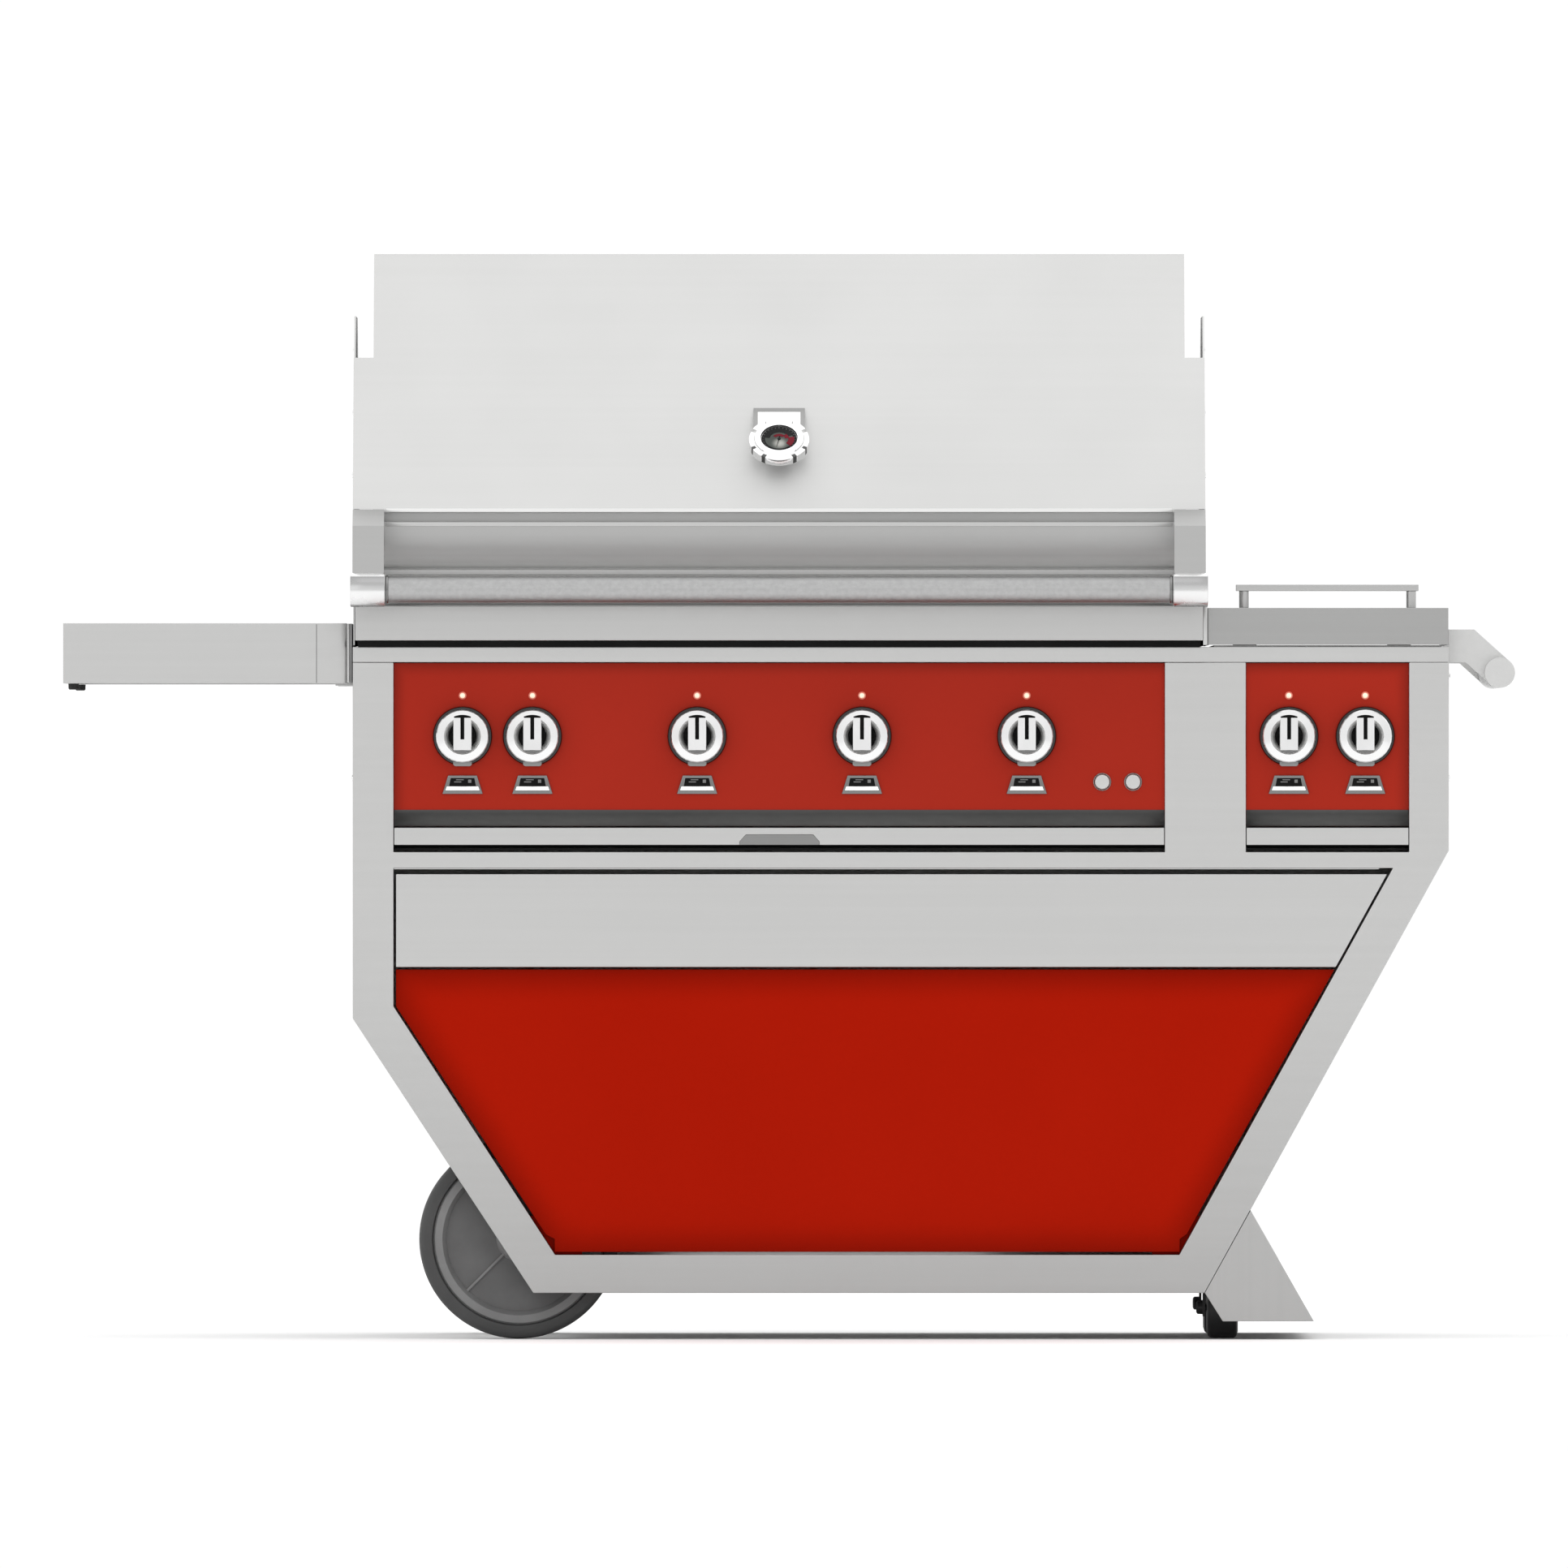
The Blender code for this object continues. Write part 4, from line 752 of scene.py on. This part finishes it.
HOOD_BODY = "hood"
TUBE = middle("hood_handle_tube")
CAP_START = 0.4907
for side, word in SIDES:
    cap = [
        (0.0000, 0.0438),
        (0.0186, 0.0438),
        (0.0207, 0.0435),
        (0.0213, 0.0426),
        (0.0213, 0.0024),
        (0.0206, 0.0004),
        (0.0166, 0.0000),
    ]
    start = (HEAD_X + side * CAP_START, TUBE.y, TUBE.z)
    lathe(f"handle_cap_{word}", cap, start, (side, 0, 0), CAP_CHROME, HOOD_BODY)
    bead = [(0.0166, 0.0), (0.0180, -0.0006), (0.0184, -0.0020), (0.0178, -0.0034), (0.0166, -0.0038)]
    lathe(f"handle_bead_{word}", bead, start, (side, 0, 0), BADGE, HOOD_BODY)

lip_x, lip_y = (HEAD_X - 0.503, HEAD_X + 0.503), (-0.2722, -0.2692)
bar("hood_lip_edge", lip_x, lip_y, (0.9140, 0.9162), STEEL_X, CART, 0.0003)
# A dark strip behind the handle tube paints the shade under the hood's lip.
bar("hood_lip_shadow_strip", lip_x, lip_y, (0.9164, 0.9196), LIP_SHADE_STEEL, CART, 0.0003)

# The panel bead's bright steel is a painted highlight along the hood's lower edge.
bead_x = (HEAD_X - 0.4905, HEAD_X + 0.4905)
for name, face_y, bead_z, finish in (
    ("hood_panel_bead", -0.3022, (1.0325, 1.0368), HIGHLIGHT_STEEL),
    ("hood_roll_bead", -0.3030, (1.0146, 1.0192), STEEL_X),
):
    bar(name, bead_x, (face_y - 0.0007, face_y + 0.0006), bead_z, finish, HOOD_BODY)


# Thermometer.

DIAL_TILT = math.radians(46.5)
DIAL_NORMAL = Vector((0, -math.cos(DIAL_TILT), math.sin(DIAL_TILT)))
DIAL_CENTRE = Vector((HEAD_X, -0.2800, 1.1170))


def dial_place(height):
    """The dial's own axes: X to the right, Y up the dial, Z out of it."""
    right = Vector((1, 0, 0))
    up = DIAL_NORMAL.cross(right)
    axes = Matrix((right, up, DIAL_NORMAL)).transposed().to_4x4()
    return Matrix.Translation(DIAL_CENTRE + DIAL_NORMAL * height) @ axes


# How far the dial's face stands above the bezel's foot.
FACE_HEIGHT = 0.0086


def dial_plate(name, arcs, height, finish):
    """Thin arcs on the dial, at a height above its face. Each is two radii and two angles in degrees."""
    plates = []
    for inner, outer, start, end in arcs:
        plate = prism_mesh(arc_outline(inner, outer, start, end, 40), "z", (0, 0.0003))
        plates.append(moved(plate, dial_place(FACE_HEIGHT + height)))
    merge(name, plates, finish, HOOD_BODY)


def ring_block(start, end, inner, outer, depth, bevel):
    """A block that stands on the bezel's ring between two angles in degrees."""
    return moved(prism_mesh(arc_outline(inner, outer, start, end, 10), "z", depth, bevel, 3), dial_place(0))


dial_plate("dial_face", [(0.0001, 0.0224, 0, 360)], 0, DIAL_BLACK)
dial_plate("dial_field", [(0.0001, 0.0176, 0, 360)], 0.0003, DIAL_FIELD)
# A painted pool of light on the dial's field, below its middle.
painted_light_centre = dial_place(FACE_HEIGHT) @ Vector((0.0005, -0.0080, 0))
paint_light_around(DIAL_FIELD, painted_light_centre, 0.0125, (0.40, 0.40, 0.37))
dial_plate("dial_rim", [(0.0118, 0.0177, 22, 172)], 0.0004, DIAL_BLACK)
bands = [(0.0050, 0.0090, 40, 146), (0.0075, 0.0125, 8, 46), (0.0115, 0.0190, -42, 12)]
dial_plate("dial_bands", bands, 0.0006, DIAL_RED)

ticks = []
for index in range(21):
    turn = Matrix.Rotation(math.radians(-45 + 13.5 * index), 4, "Z")
    tick_end = 0.0208 if index % 5 else 0.0214
    tick = prism_mesh(rectangle((0.0192, tick_end), (-0.0002, 0.0002)), "z", (0, 0.0002))
    ticks.append(moved(moved(tick, turn), dial_place(FACE_HEIGHT + 0.0004)))
merge("dial_ticks", ticks, BADGE, HOOD_BODY)

needle_shape = [(-0.0006, -0.004), (0.0006, -0.004), (0.0001, 0.0155), (-0.0001, 0.0155)]
needle = moved(prism_mesh(needle_shape, "z", (0, 0.0004)), Matrix.Rotation(math.radians(168), 4, "Z"))
needle = moved(needle, dial_place(FACE_HEIGHT + 0.0011))
merge("dial_needle", [needle], BLACK_AND_GAP_SHADE, HOOD_BODY)
hub = [(0, 0.0020), (0.0016, 0.0018), (0.0020, 0.0012), (0.0020, 0.0003), (0, 0.0003)]
hub_place = DIAL_CENTRE + DIAL_NORMAL * FACE_HEIGHT
lathe("dial_hub", hub, hub_place, DIAL_NORMAL, DIAL_BLACK, HOOD_BODY, 24)

# The angles of the bezel's notches. The lobes lie between them, and four notches have a dark grey floor that
# paints their shade.
NOTCH_TURNS = (26, 58, 122, 154, 206, 238, 302, 334, 386)
lobes, notches = [], []
for start, end in zip(NOTCH_TURNS, NOTCH_TURNS[1:]):
    lobes.append(ring_block(start + 4, end - 4, 0.0290, 0.0380, (-0.0020, 0.0094), 0.0012))
for turn in NOTCH_TURNS[4:8]:
    notches.append(ring_block(turn - 4.6, turn + 4.6, 0.0305, 0.0372, (-0.0018, 0.0086), 0.0))
merge("thermometer_lobes", lobes, BLOCK_CHROME, HOOD_BODY)
merge("thermometer_notches", notches, NOTCH_SHADE_GREY, HOOD_BODY)
ring = [(0.0226, 0.0086), (0.0232, 0.0118), (0.0262, 0.0124), (0.0305, 0.0116), (0.0318, 0.0080)]
ring.append((0.0226, 0.0080))
lathe("thermometer_ring", ring, DIAL_CENTRE, DIAL_NORMAL, BLOCK_CHROME, HOOD_BODY, 96)
skirt = [(0.0300, -0.0010), (0.0366, 0.0004), (0.0368, -0.0010), (0.0340, -0.0026), (0.0300, -0.0026)]
lathe("thermometer_skirt", skirt, DIAL_CENTRE, DIAL_NORMAL, BLOCK_CHROME, HOOD_BODY, 96)
# The thermometer's housing and bezel leave no reflection on the hood's satin face.
for piece in bpy.context.scene.objects:
    if piece.name.startswith("thermometer_"):
        piece.visible_glossy = False


def edge_strip(points, x, name):
    """A thin grey strip lying on the thermometer block's slanted faces, along points (y, z) going forward:
    painted shade along the block's edges.
    """
    proud, sunk = [], []
    for index, point in enumerate(points):
        before, after = points[max(index - 1, 0)], points[min(index + 1, len(points) - 1)]
        along = (Vector(after) - Vector(before)).normalized()
        normal = Vector((along.y, -along.x))
        proud.append(tuple(Vector(point) + normal * 0.0003))
        sunk.append(tuple(Vector(point) - normal * 0.0004))
    prism(name, proud + sunk[::-1], "x", x, CHEEK_SHADE_STEEL, HOOD_BODY, 0)


BLOCK_BACK = Vector((-0.2293, 1.1625))
BLOCK_CREST = Vector((-0.2460, 1.1520))
BLOCK_FRONT = Vector((-0.2900, 1.1080))
crown = BLOCK_BACK.lerp(BLOCK_CREST, 0.42)
edge_strip([BLOCK_BACK, crown], (HEAD_X - 0.0320, HEAD_X + 0.0320), "thermometer_crown")
for side, word in SIDES:
    cheek_x = sorted((HEAD_X + side * 0.0266, HEAD_X + side * 0.0322))
    edge_strip([crown, BLOCK_CREST, BLOCK_FRONT], cheek_x, f"thermometer_cheek_{word}")


# Side plate screws, along a line that follows the hood's leaning front.

PLATE_FACE = 0.5315
LEAN_FOOT_Y, LEAN_FOOT_Z = -0.302, 1.036
BEHIND_LEAN = 0.034
for side, word in SIDES:
    for level, z in enumerate((1.236, 1.157, 1.079)):
        head = [(0, 0.0020), (0.0022, 0.0019), (0.0040, 0.0012), (0.0048, 0.0001), (0, 0.0001)]
        y = LEAN_FOOT_Y + (z - LEAN_FOOT_Z) * math.tan(HOOD_LEAN) + BEHIND_LEAN
        place = (HEAD_X + side * PLATE_FACE, y, z)
        lathe(f"plate_screw_{word}_{level}", head, place, (side, 0, 0), CHROME_SOFT, CART, 32)


# Wheels and casters.

WHEEL_X, WHEEL_Z = middle("wheel_front").x, middle("wheel_front").z


def large_wheel(end):
    """A grey hub and rim with a solid tyre, and four ribs and a sunk disc on each side."""
    body = f"large_wheel_{end}"
    low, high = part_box(f"wheel_{end}")
    half = (high.y - low.y) / 2
    place = (WHEEL_X, (low.y + high.y) / 2, WHEEL_Z)
    tyre_side = [
        (0.1066, half - 0.004),
        (0.1085, half),
        (0.1170, half),
        (0.1215, half - 0.003),
        (0.1240, half - 0.009),
        (0.1245, 0.006),
    ]
    tyre = [(r, -h) for r, h in tyre_side] + tyre_side[::-1]
    lathe(f"tyre_{end}", [*tyre, tyre[0]], place, FORWARD, TYRE, body, 128)
    rim = []
    for face in (-1, 1):
        rim_side = [
            (0.0100, half - 0.0150),
            (0.0100, half - 0.0040),
            (0.0250, half - 0.0045),
            (0.0285, half - 0.0120),
            (0.0900, half - 0.0120),
            (0.0935, half - 0.0040),
            (0.0955, half - 0.0015),
            (0.1045, half - 0.0020),
            (0.1066, half - 0.0045),
        ]
        rim.extend((r, face * h) for r, h in (rim_side if face < 0 else reversed(rim_side)))
    rim.append(rim[0])
    whole = lathe(f"rim_{end}", rim, place, FORWARD, RIM, body, 96)
    ribs = []
    for face in (-1, 1):
        for turn in (45, 135, 225, 315):
            rib_y = sorted((face * (half - 0.0128), face * (half - 0.0085)))
            rib = prism_mesh(rectangle((0.024, 0.0915), (-0.0016, 0.0016)), "y", rib_y, 0.0006)
            spin = Matrix.Rotation(math.radians(turn), 4, "Y")
            ribs.append(moved(rib, Matrix.Translation(place) @ spin))
    merge(f"ribs_{end}", ribs, RIM, body)
    for face, word in ((-1, "outer"), (1, "inner")):
        floor, face_height = half - 0.0119, half - 0.0114
        inset = [(0.0284, floor), (0.0284, face_height), (0.0902, face_height), (0.0902, floor)]
        lathe(f"disc_{word}_{end}", inset, place, (0, face, 0), DISC, body, 96)
    return whole


for end in ENDS:
    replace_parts(large_wheel(end), f"wheel_{end}")

for end in ENDS:
    axle_side = -1 if end == "front" else 1
    low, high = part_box(f"wheel_{end}")
    face_y = low.y if axle_side < 0 else high.y
    cap = [(0, 0.0030), (0.0060, 0.0026), (0.0090, 0.0012)]
    cap += [(0.0098, -0.0040), (0.0088, -0.0040), (0, -0.0036)]
    place = (WHEEL_X, face_y - axle_side * 0.0006, WHEEL_Z)
    lathe(f"axle_cap_{end}", cap, place, (0, axle_side, 0), CHROME_SOFT, f"large_wheel_{end}", 48)


# Shelf: two bumpers below it, a seam in its front edge, and the lips where it meets the head, each with a
# grey strip beside it that paints the shade in the gap.

SHELF_LOW, SHELF_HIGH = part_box("left_shelf")
for word, y in (("front", SHELF_LOW.y + 0.030), ("rear", SHELF_HIGH.y - 0.030)):
    foot = [(0, -0.0078), (0.0050, -0.0078), (0.0064, -0.0064), (0.0066, -0.0002), (0, -0.0002)]
    place = (SHELF_LOW.x + 0.0125, y, SHELF_LOW.z)
    lathe(f"shelf_bumper_{word}", foot, place, (0, 0, 1), RUBBER, "shelf", 40)

SEAM_X, SEAM_Y = -0.590, -0.2884
seam_x, seam_y = (SEAM_X - 0.0004, SEAM_X + 0.0004), (SEAM_Y - 0.0006, SEAM_Y)
seam_z = (SHELF_LOW.z + 0.0006, SHELF_HIGH.z - 0.0012)
bar("shelf_seam", seam_x, seam_y, seam_z, DISC, "shelf", 0)

shelf_lip_x = (SHELF_HIGH.x + 0.0001, SHELF_HIGH.x + 0.0033)
shelf_gap_strip_x = (SHELF_HIGH.x + 0.0034, SHELF_HIGH.x + 0.0070)
edge_z = (SHELF_LOW.z + 0.0010, SHELF_HIGH.z - 0.0004)
LIP_RUNS = {"front": (-0.2790, -0.1420), "middle": (-0.0980, 0.1780), "rear": (0.2220, 0.2980)}
for word, edge_y in LIP_RUNS.items():
    bar(f"shelf_lip_{word}", shelf_lip_x, edge_y, edge_z, STEEL_X, "shelf", 0.0006)
    bar(f"shelf_gap_strip_{word}", shelf_gap_strip_x, edge_y, edge_z, SHELF_GAP_SHADE, "shelf", 0.0006)


# Drawer runners, between the drawer's walls and the cart.

for word, side, wall_x in (("left", -1, -0.430), ("right", 1, 0.640)):
    inner = sorted((wall_x + side * 0.0002, wall_x + side * 0.0045))
    outer = sorted((wall_x + side * 0.0050, wall_x + side * 0.0110))
    runner_y = (-0.262, 0.215)
    bar(f"drawer_runner_{word}", inner, runner_y, (0.498, 0.520), INNER, "drawer", 0.0006)
    bar(f"cart_runner_{word}", outer, runner_y, (0.494, 0.524), INNER, CART, 0.0006)


# The floor of the finger notch in the main drip tray's front, in darker steel that paints the notch's shade.

TRAY_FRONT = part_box("drip_tray")[0].y
notch_low, notch_bend, notch_top = 0.6172, 0.6211, 0.6297
notch_floor = [
    (-0.0619, notch_low),
    (0.0375, notch_low),
    (0.0375, notch_bend),
    (0.0297, notch_top),
    (-0.0541, notch_top),
    (-0.0619, notch_bend),
]
notch_y = (TRAY_FRONT + 0.0002, TRAY_FRONT + 0.0009)
prism("tray_notch_floor", notch_floor, "y", notch_y, NOTCH_SHADE_STEEL, "main_tray", 0)


# Black strips under the drip trays that paint the shade in the gaps there.


def shadow_strip(name, x, y, z, bevel=0.0004):
    bar(name, x, y, z, BLACK_AND_GAP_SHADE, CART, bevel)


for name, low, high in (("main", PANEL_LOW, PANEL_HIGH), ("side", SIDE_PANEL_LOW, SIDE_PANEL_HIGH)):
    shadow_strip(f"tray_gasket_{name}", (low.x, high.x), (-0.2860, -0.2720), (0.6098, 0.6128))
    shadow_strip(f"tray_gasket_lip_{name}", (low.x, high.x), (-0.2740, -0.2720), (0.6130, 0.6172), 0.0003)


# Steel trim: between the head's rail and the side burner lid, and along the bottom of the middle rail.

RAIL_RIGHT, LID_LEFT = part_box("firebox")[1].x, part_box("side_burner_lid")[0].x
trim_x, trim_y = (RAIL_RIGHT + 0.0001, LID_LEFT - 0.0008), (-0.2985, -0.2600)
bar("head_end_trim", trim_x, trim_y, (0.8665, 0.9140), STEEL_X, CART, 0.0004)

FRAME_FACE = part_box("front_frame")[0].y
rail_x = (PANEL_LOW.x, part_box("utility_drawer")[1].x - 0.010)
rail_y = (FRAME_FACE + 0.0006, FRAME_FACE + 0.0100)
bar("mid_rail_lip", rail_x, rail_y, (0.5866, 0.5879), STEEL_X, CART, 0.0003)


# Black strips between the head's rail and the deck, along the front and both sides, that paint the shade in
# that gap.

HEAD_LEFT, HEAD_RIGHT = HEAD_X - 0.5260, HEAD_X + 0.5260
SHADOW_STRIP_WIDTH = 0.0120
shadow_strip_y, shadow_strip_z = (-0.2750, 0.3400), (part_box("top_deck")[1].z + 0.0002, 0.8718)
shadow_strip("head_shadow_strip_front", (HEAD_LEFT, HEAD_RIGHT), (-0.2960, -0.2754), shadow_strip_z)
shadow_strip("head_shadow_strip_left", (HEAD_LEFT, HEAD_LEFT + SHADOW_STRIP_WIDTH), shadow_strip_y, shadow_strip_z)
shadow_strip("head_shadow_strip_right", (HEAD_RIGHT - SHADOW_STRIP_WIDTH, HEAD_RIGHT), shadow_strip_y, shadow_strip_z)


# Lower door: the fixed corner fillets behind it.

SILL_Z = 0.1058
# Each corner's place on the sill, and how far outwards its slanted edge goes for each metre up.
for word, side, corner_x, slope in (("left", -1, -0.2925, 0.6503), ("right", 1, 0.4870, 0.5521)):
    reach, rise = 0.034, 0.048
    fillet = [
        (corner_x - side * reach, SILL_Z),
        (corner_x - side * 0.0004, SILL_Z),
        (corner_x + side * (rise * slope - 0.0008), SILL_Z + rise),
        (corner_x - side * reach, SILL_Z + rise),
    ]
    if side > 0:
        fillet.reverse()
    prism(f"door_fillet_{word}", fillet, "y", (-0.2742, -0.2720), DOOR_RED, CART, 0.0003)


# Back and sides.


def screw(name, place, axis):
    """A pan-head screw with a small round recess, in the cart."""
    radius = 0.0045
    head = [
        (0.0009, 0.0008),
        (0.0012, 0.0022),
        (0.0026, 0.0020),
        (radius * 0.93, 0.0012),
        (radius, 0.0001),
        (0.0009, 0.0001),
        (0.0009, 0.0008),
    ]
    lathe(name, head, place, axis, CHROME_SOFT, CART, 24)


BACK_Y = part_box("rear_panel")[1].y
for row, (z, right_x) in enumerate(((0.828, 0.812), (0.640, 0.812), (0.430, 0.712))):
    for column, x in enumerate((-0.534, -0.20, 0.14, 0.48, right_x)):
        screw(f"rear_screw_{row}_{column}", (x, BACK_Y - 0.0001, z), (0, 1, 0))
for column, x in enumerate((-0.285, -0.02, 0.25, 0.490)):
    screw(f"rear_screw_low_{column}", (x, BACK_Y - 0.0001, 0.074), (0, 1, 0))
LEFT_FACE, RIGHT_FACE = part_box("left_side_panel")[0].x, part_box("right_side_panel")[1].x
for word, side, x in (("left", -1, LEFT_FACE), ("right", 1, RIGHT_FACE)):
    for row, z in enumerate((0.828, 0.700)):
        for column, y in enumerate((-0.250, -0.010, 0.362)):
            screw(f"side_screw_{word}_{row}_{column}", (x - side * 0.0001, y, z), (side, 0, 0))

plate = rectangle((0.500, 0.620), (0.650, 0.720))
prism("blank_data_plate", plate, "y", (BACK_Y, BACK_Y + 0.0008), BUTTON, CART, 0.0003)

plug = [(0, 0.0012), (0.0172, 0.0012), (0.0186, 0.0004), (0.0186, 0.0001)]
plug += [(0.0162, 0.0001), (0.0162, -0.0060), (0, -0.0060)]
tube_end = (0.8872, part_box("push_handle")[1].y, 0.832)
lathe("push_handle_plug", plug, tube_end, (0, 1, 0), CASTER_BLACK, CART, 48)


# Under the hood.

PORT_PITCH = 0.0152
for number in range(1, 5):
    low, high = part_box(f"main_burner_{number}")
    centre_x = (low.x + high.x) / 2
    # Black discs stand for the burner ports: painted shade, the ports are not cut.
    ports = []
    for side in (-1, 1):
        for index in range(24):
            spot = bmesh.new()
            bmesh.ops.create_circle(spot, cap_ends=True, radius=0.0021, segments=10)
            place = (centre_x + side * 0.019, -0.120 + index * PORT_PITCH, high.z + 0.00015)
            ports.append(moved(spot, Matrix.Translation(place)))
    merge(f"burner_ports_{number}", ports, BLACK_AND_GAP_SHADE, CART)
    ridge = [(centre_x - 0.012, high.z), (centre_x + 0.012, high.z), (centre_x, high.z + 0.006)]
    prism(f"burner_ridge_{number}", ridge, "y", (-0.14, 0.24), BURNER_STEEL, CART)

INFRARED_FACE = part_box("rear_infrared_burner")[0].y
TILE_PITCH, TILE_WIDTH = 0.0698, 0.0690
tiles = []
for index in range(8):
    start = HEAD_X - 0.279 + index * TILE_PITCH
    tile = rectangle((start, start + TILE_WIDTH), (0.9312, 0.9838))
    tiles.append(prism_mesh(tile, "y", (INFRARED_FACE + 0.0032, INFRARED_FACE + 0.0058), 0.0006))
merge("infrared_tiles", tiles, CERAMIC, CART)
guards = []
for z in (0.940, 0.9575, 0.975):
    rod = rectangle((HEAD_X - 0.286, HEAD_X + 0.286), (z - 0.0015, z + 0.0015))
    guards.append(prism_mesh(rod, "y", (INFRARED_FACE - 0.0035, INFRARED_FACE - 0.0005), 0.0012, 3))
merge("infrared_guard", guards, CHROME_SOFT, CART)


def burner_cap(word):
    """A side burner's domed iron cap, and black blocks in the flame slots around the burner below it that
    paint the slots' shade.
    """
    low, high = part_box(f"side_burner_{word}")
    centre = ((low.x + high.x) / 2, (low.y + high.y) / 2, high.z)
    dome = [(0, 0.0042), (0.0100, 0.0040), (0.0330, 0.0024), (0.0370, 0.0001), (0, 0.0001)]
    lathe(f"burner_cap_{word}", dome, centre, (0, 0, 1), IRON, CART)
    slots, count = [], 36
    for index in range(count):
        slot = prism_mesh(rectangle((0.0405, 0.0453), (-0.0010, 0.0010)), "z", (-0.0105, -0.0045), 0.0003)
        turn = Matrix.Rotation(2 * math.pi * index / count, 4, "Z")
        slots.append(moved(slot, Matrix.Translation(centre) @ turn))
    merge(f"burner_slots_{word}", slots, BLACK_AND_GAP_SHADE, CART)


for word in ENDS:
    burner_cap(word)


# Casters: a nut on each side of the axle, and a brake lever.

for end in ENDS:
    wheel = middle(f"caster_wheel_{end}")
    fork_low, fork_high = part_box(f"caster_fork_{end}")
    body = f"caster_{end}"
    nut = [(0, 0.0062), (0.0060, 0.0060), (0.0082, 0.0042)]
    nut += [(0.0084, -0.0020), (0.0042, -0.0022), (0, -0.0022)]
    for side, word in SIDES:
        place = (fork_low.x if side < 0 else fork_high.x, wheel.y, wheel.z)
        lathe(f"caster_nut_{end}_{word}", nut, place, (side, 0, 0), CASTER_BLACK, body, 24)
    lever = [(0.010, 0.078), (0.052, 0.062), (0.054, 0.066), (0.012, 0.084)]
    lever = [(wheel.y + behind, z) for behind, z in lever]
    lever_x = (wheel.x - 0.014, wheel.x + 0.014)
    prism(f"caster_brake_{end}", lever, "x", lever_x, CASTER_BLACK, body, 0.0010)


# Stage: a plain pale floor, a soft sky and two broad lights.


def area_light(name, place, aim, size, power):
    data = bpy.data.lights.new(name, "AREA")
    data.shape = "RECTANGLE"
    data.size, data.size_y = size
    data.energy = power
    light = bpy.data.objects.new(name, data)
    light.location = place
    light.rotation_euler = (Vector(aim) - Vector(place)).to_track_quat("-Z", "Y").to_euler()
    bpy.context.scene.collection.objects.link(light)


area_light("overhead", (0.0, -1.2, 4.2), (0.0, 0.0, 0.6), (3.6, 2.4), 8)
area_light("front_left", (-3.2, -4.0, 2.6), (0.0, 0.0, 0.7), (2.4, 2.4), 5)

floor_mesh = bmesh.new()
bmesh.ops.create_grid(floor_mesh, x_segments=1, y_segments=1, size=9)
floor_finish = principled("studio_floor", (0.93, 0.93, 0.93), 0.85)
drive_colour(floor_finish, noise_at(floor_finish, 0.6, 2.0), (0.92, 0.92, 0.92), (0.94, 0.94, 0.94))
floor_data = bpy.data.meshes.new("studio_floor")
floor_mesh.to_mesh(floor_data)
floor_mesh.free()
floor_data.materials.append(floor_finish)
floor = bpy.data.objects.new("studio_floor", floor_data)
bpy.context.scene.collection.objects.link(floor)
floor.location.z = -0.0002

world = bpy.data.worlds.new("studio_sky")
bpy.context.scene.world = world
world.use_nodes = True
sky = world.node_tree
direction = sky.nodes.new("ShaderNodeTexCoord")
split = sky.nodes.new("ShaderNodeSeparateXYZ")
ramp = sky.nodes.new("ShaderNodeValToRGB")
ramp.color_ramp.elements[0].position = 0.10
ramp.color_ramp.elements[0].color = (0.72, 0.72, 0.72, 1)
ramp.color_ramp.elements[1].position = 0.85
ramp.color_ramp.elements[1].color = (1.0, 1.0, 1.0, 1)
sky.links.new(direction.outputs["Generated"], split.inputs["Vector"])
sky.links.new(split.outputs["Z"], ramp.inputs["Fac"])
sky.links.new(ramp.outputs["Color"], sky.nodes["Background"].inputs["Color"])
sky.nodes["Background"].inputs["Strength"].default_value = 1.42

scene = bpy.context.scene
scene.view_settings.view_transform = "Standard"

camera_data = bpy.data.cameras.new("front_camera")
camera_data.lens = 1000
camera_data.sensor_width = 36
camera_data.clip_end = 200
camera = bpy.data.objects.new("front_camera", camera_data)
scene.collection.objects.link(camera)
FRAME_WIDTH = 1.957
VIEW_X, VIEW_Z = -0.0066, 0.693
distance = FRAME_WIDTH / camera_data.sensor_width * camera_data.lens
camera.location = (VIEW_X, PANEL_FACE - distance, VIEW_Z)
camera.rotation_euler = (math.radians(90), 0, 0)
scene.camera = camera

bpy.context.view_layer.update()
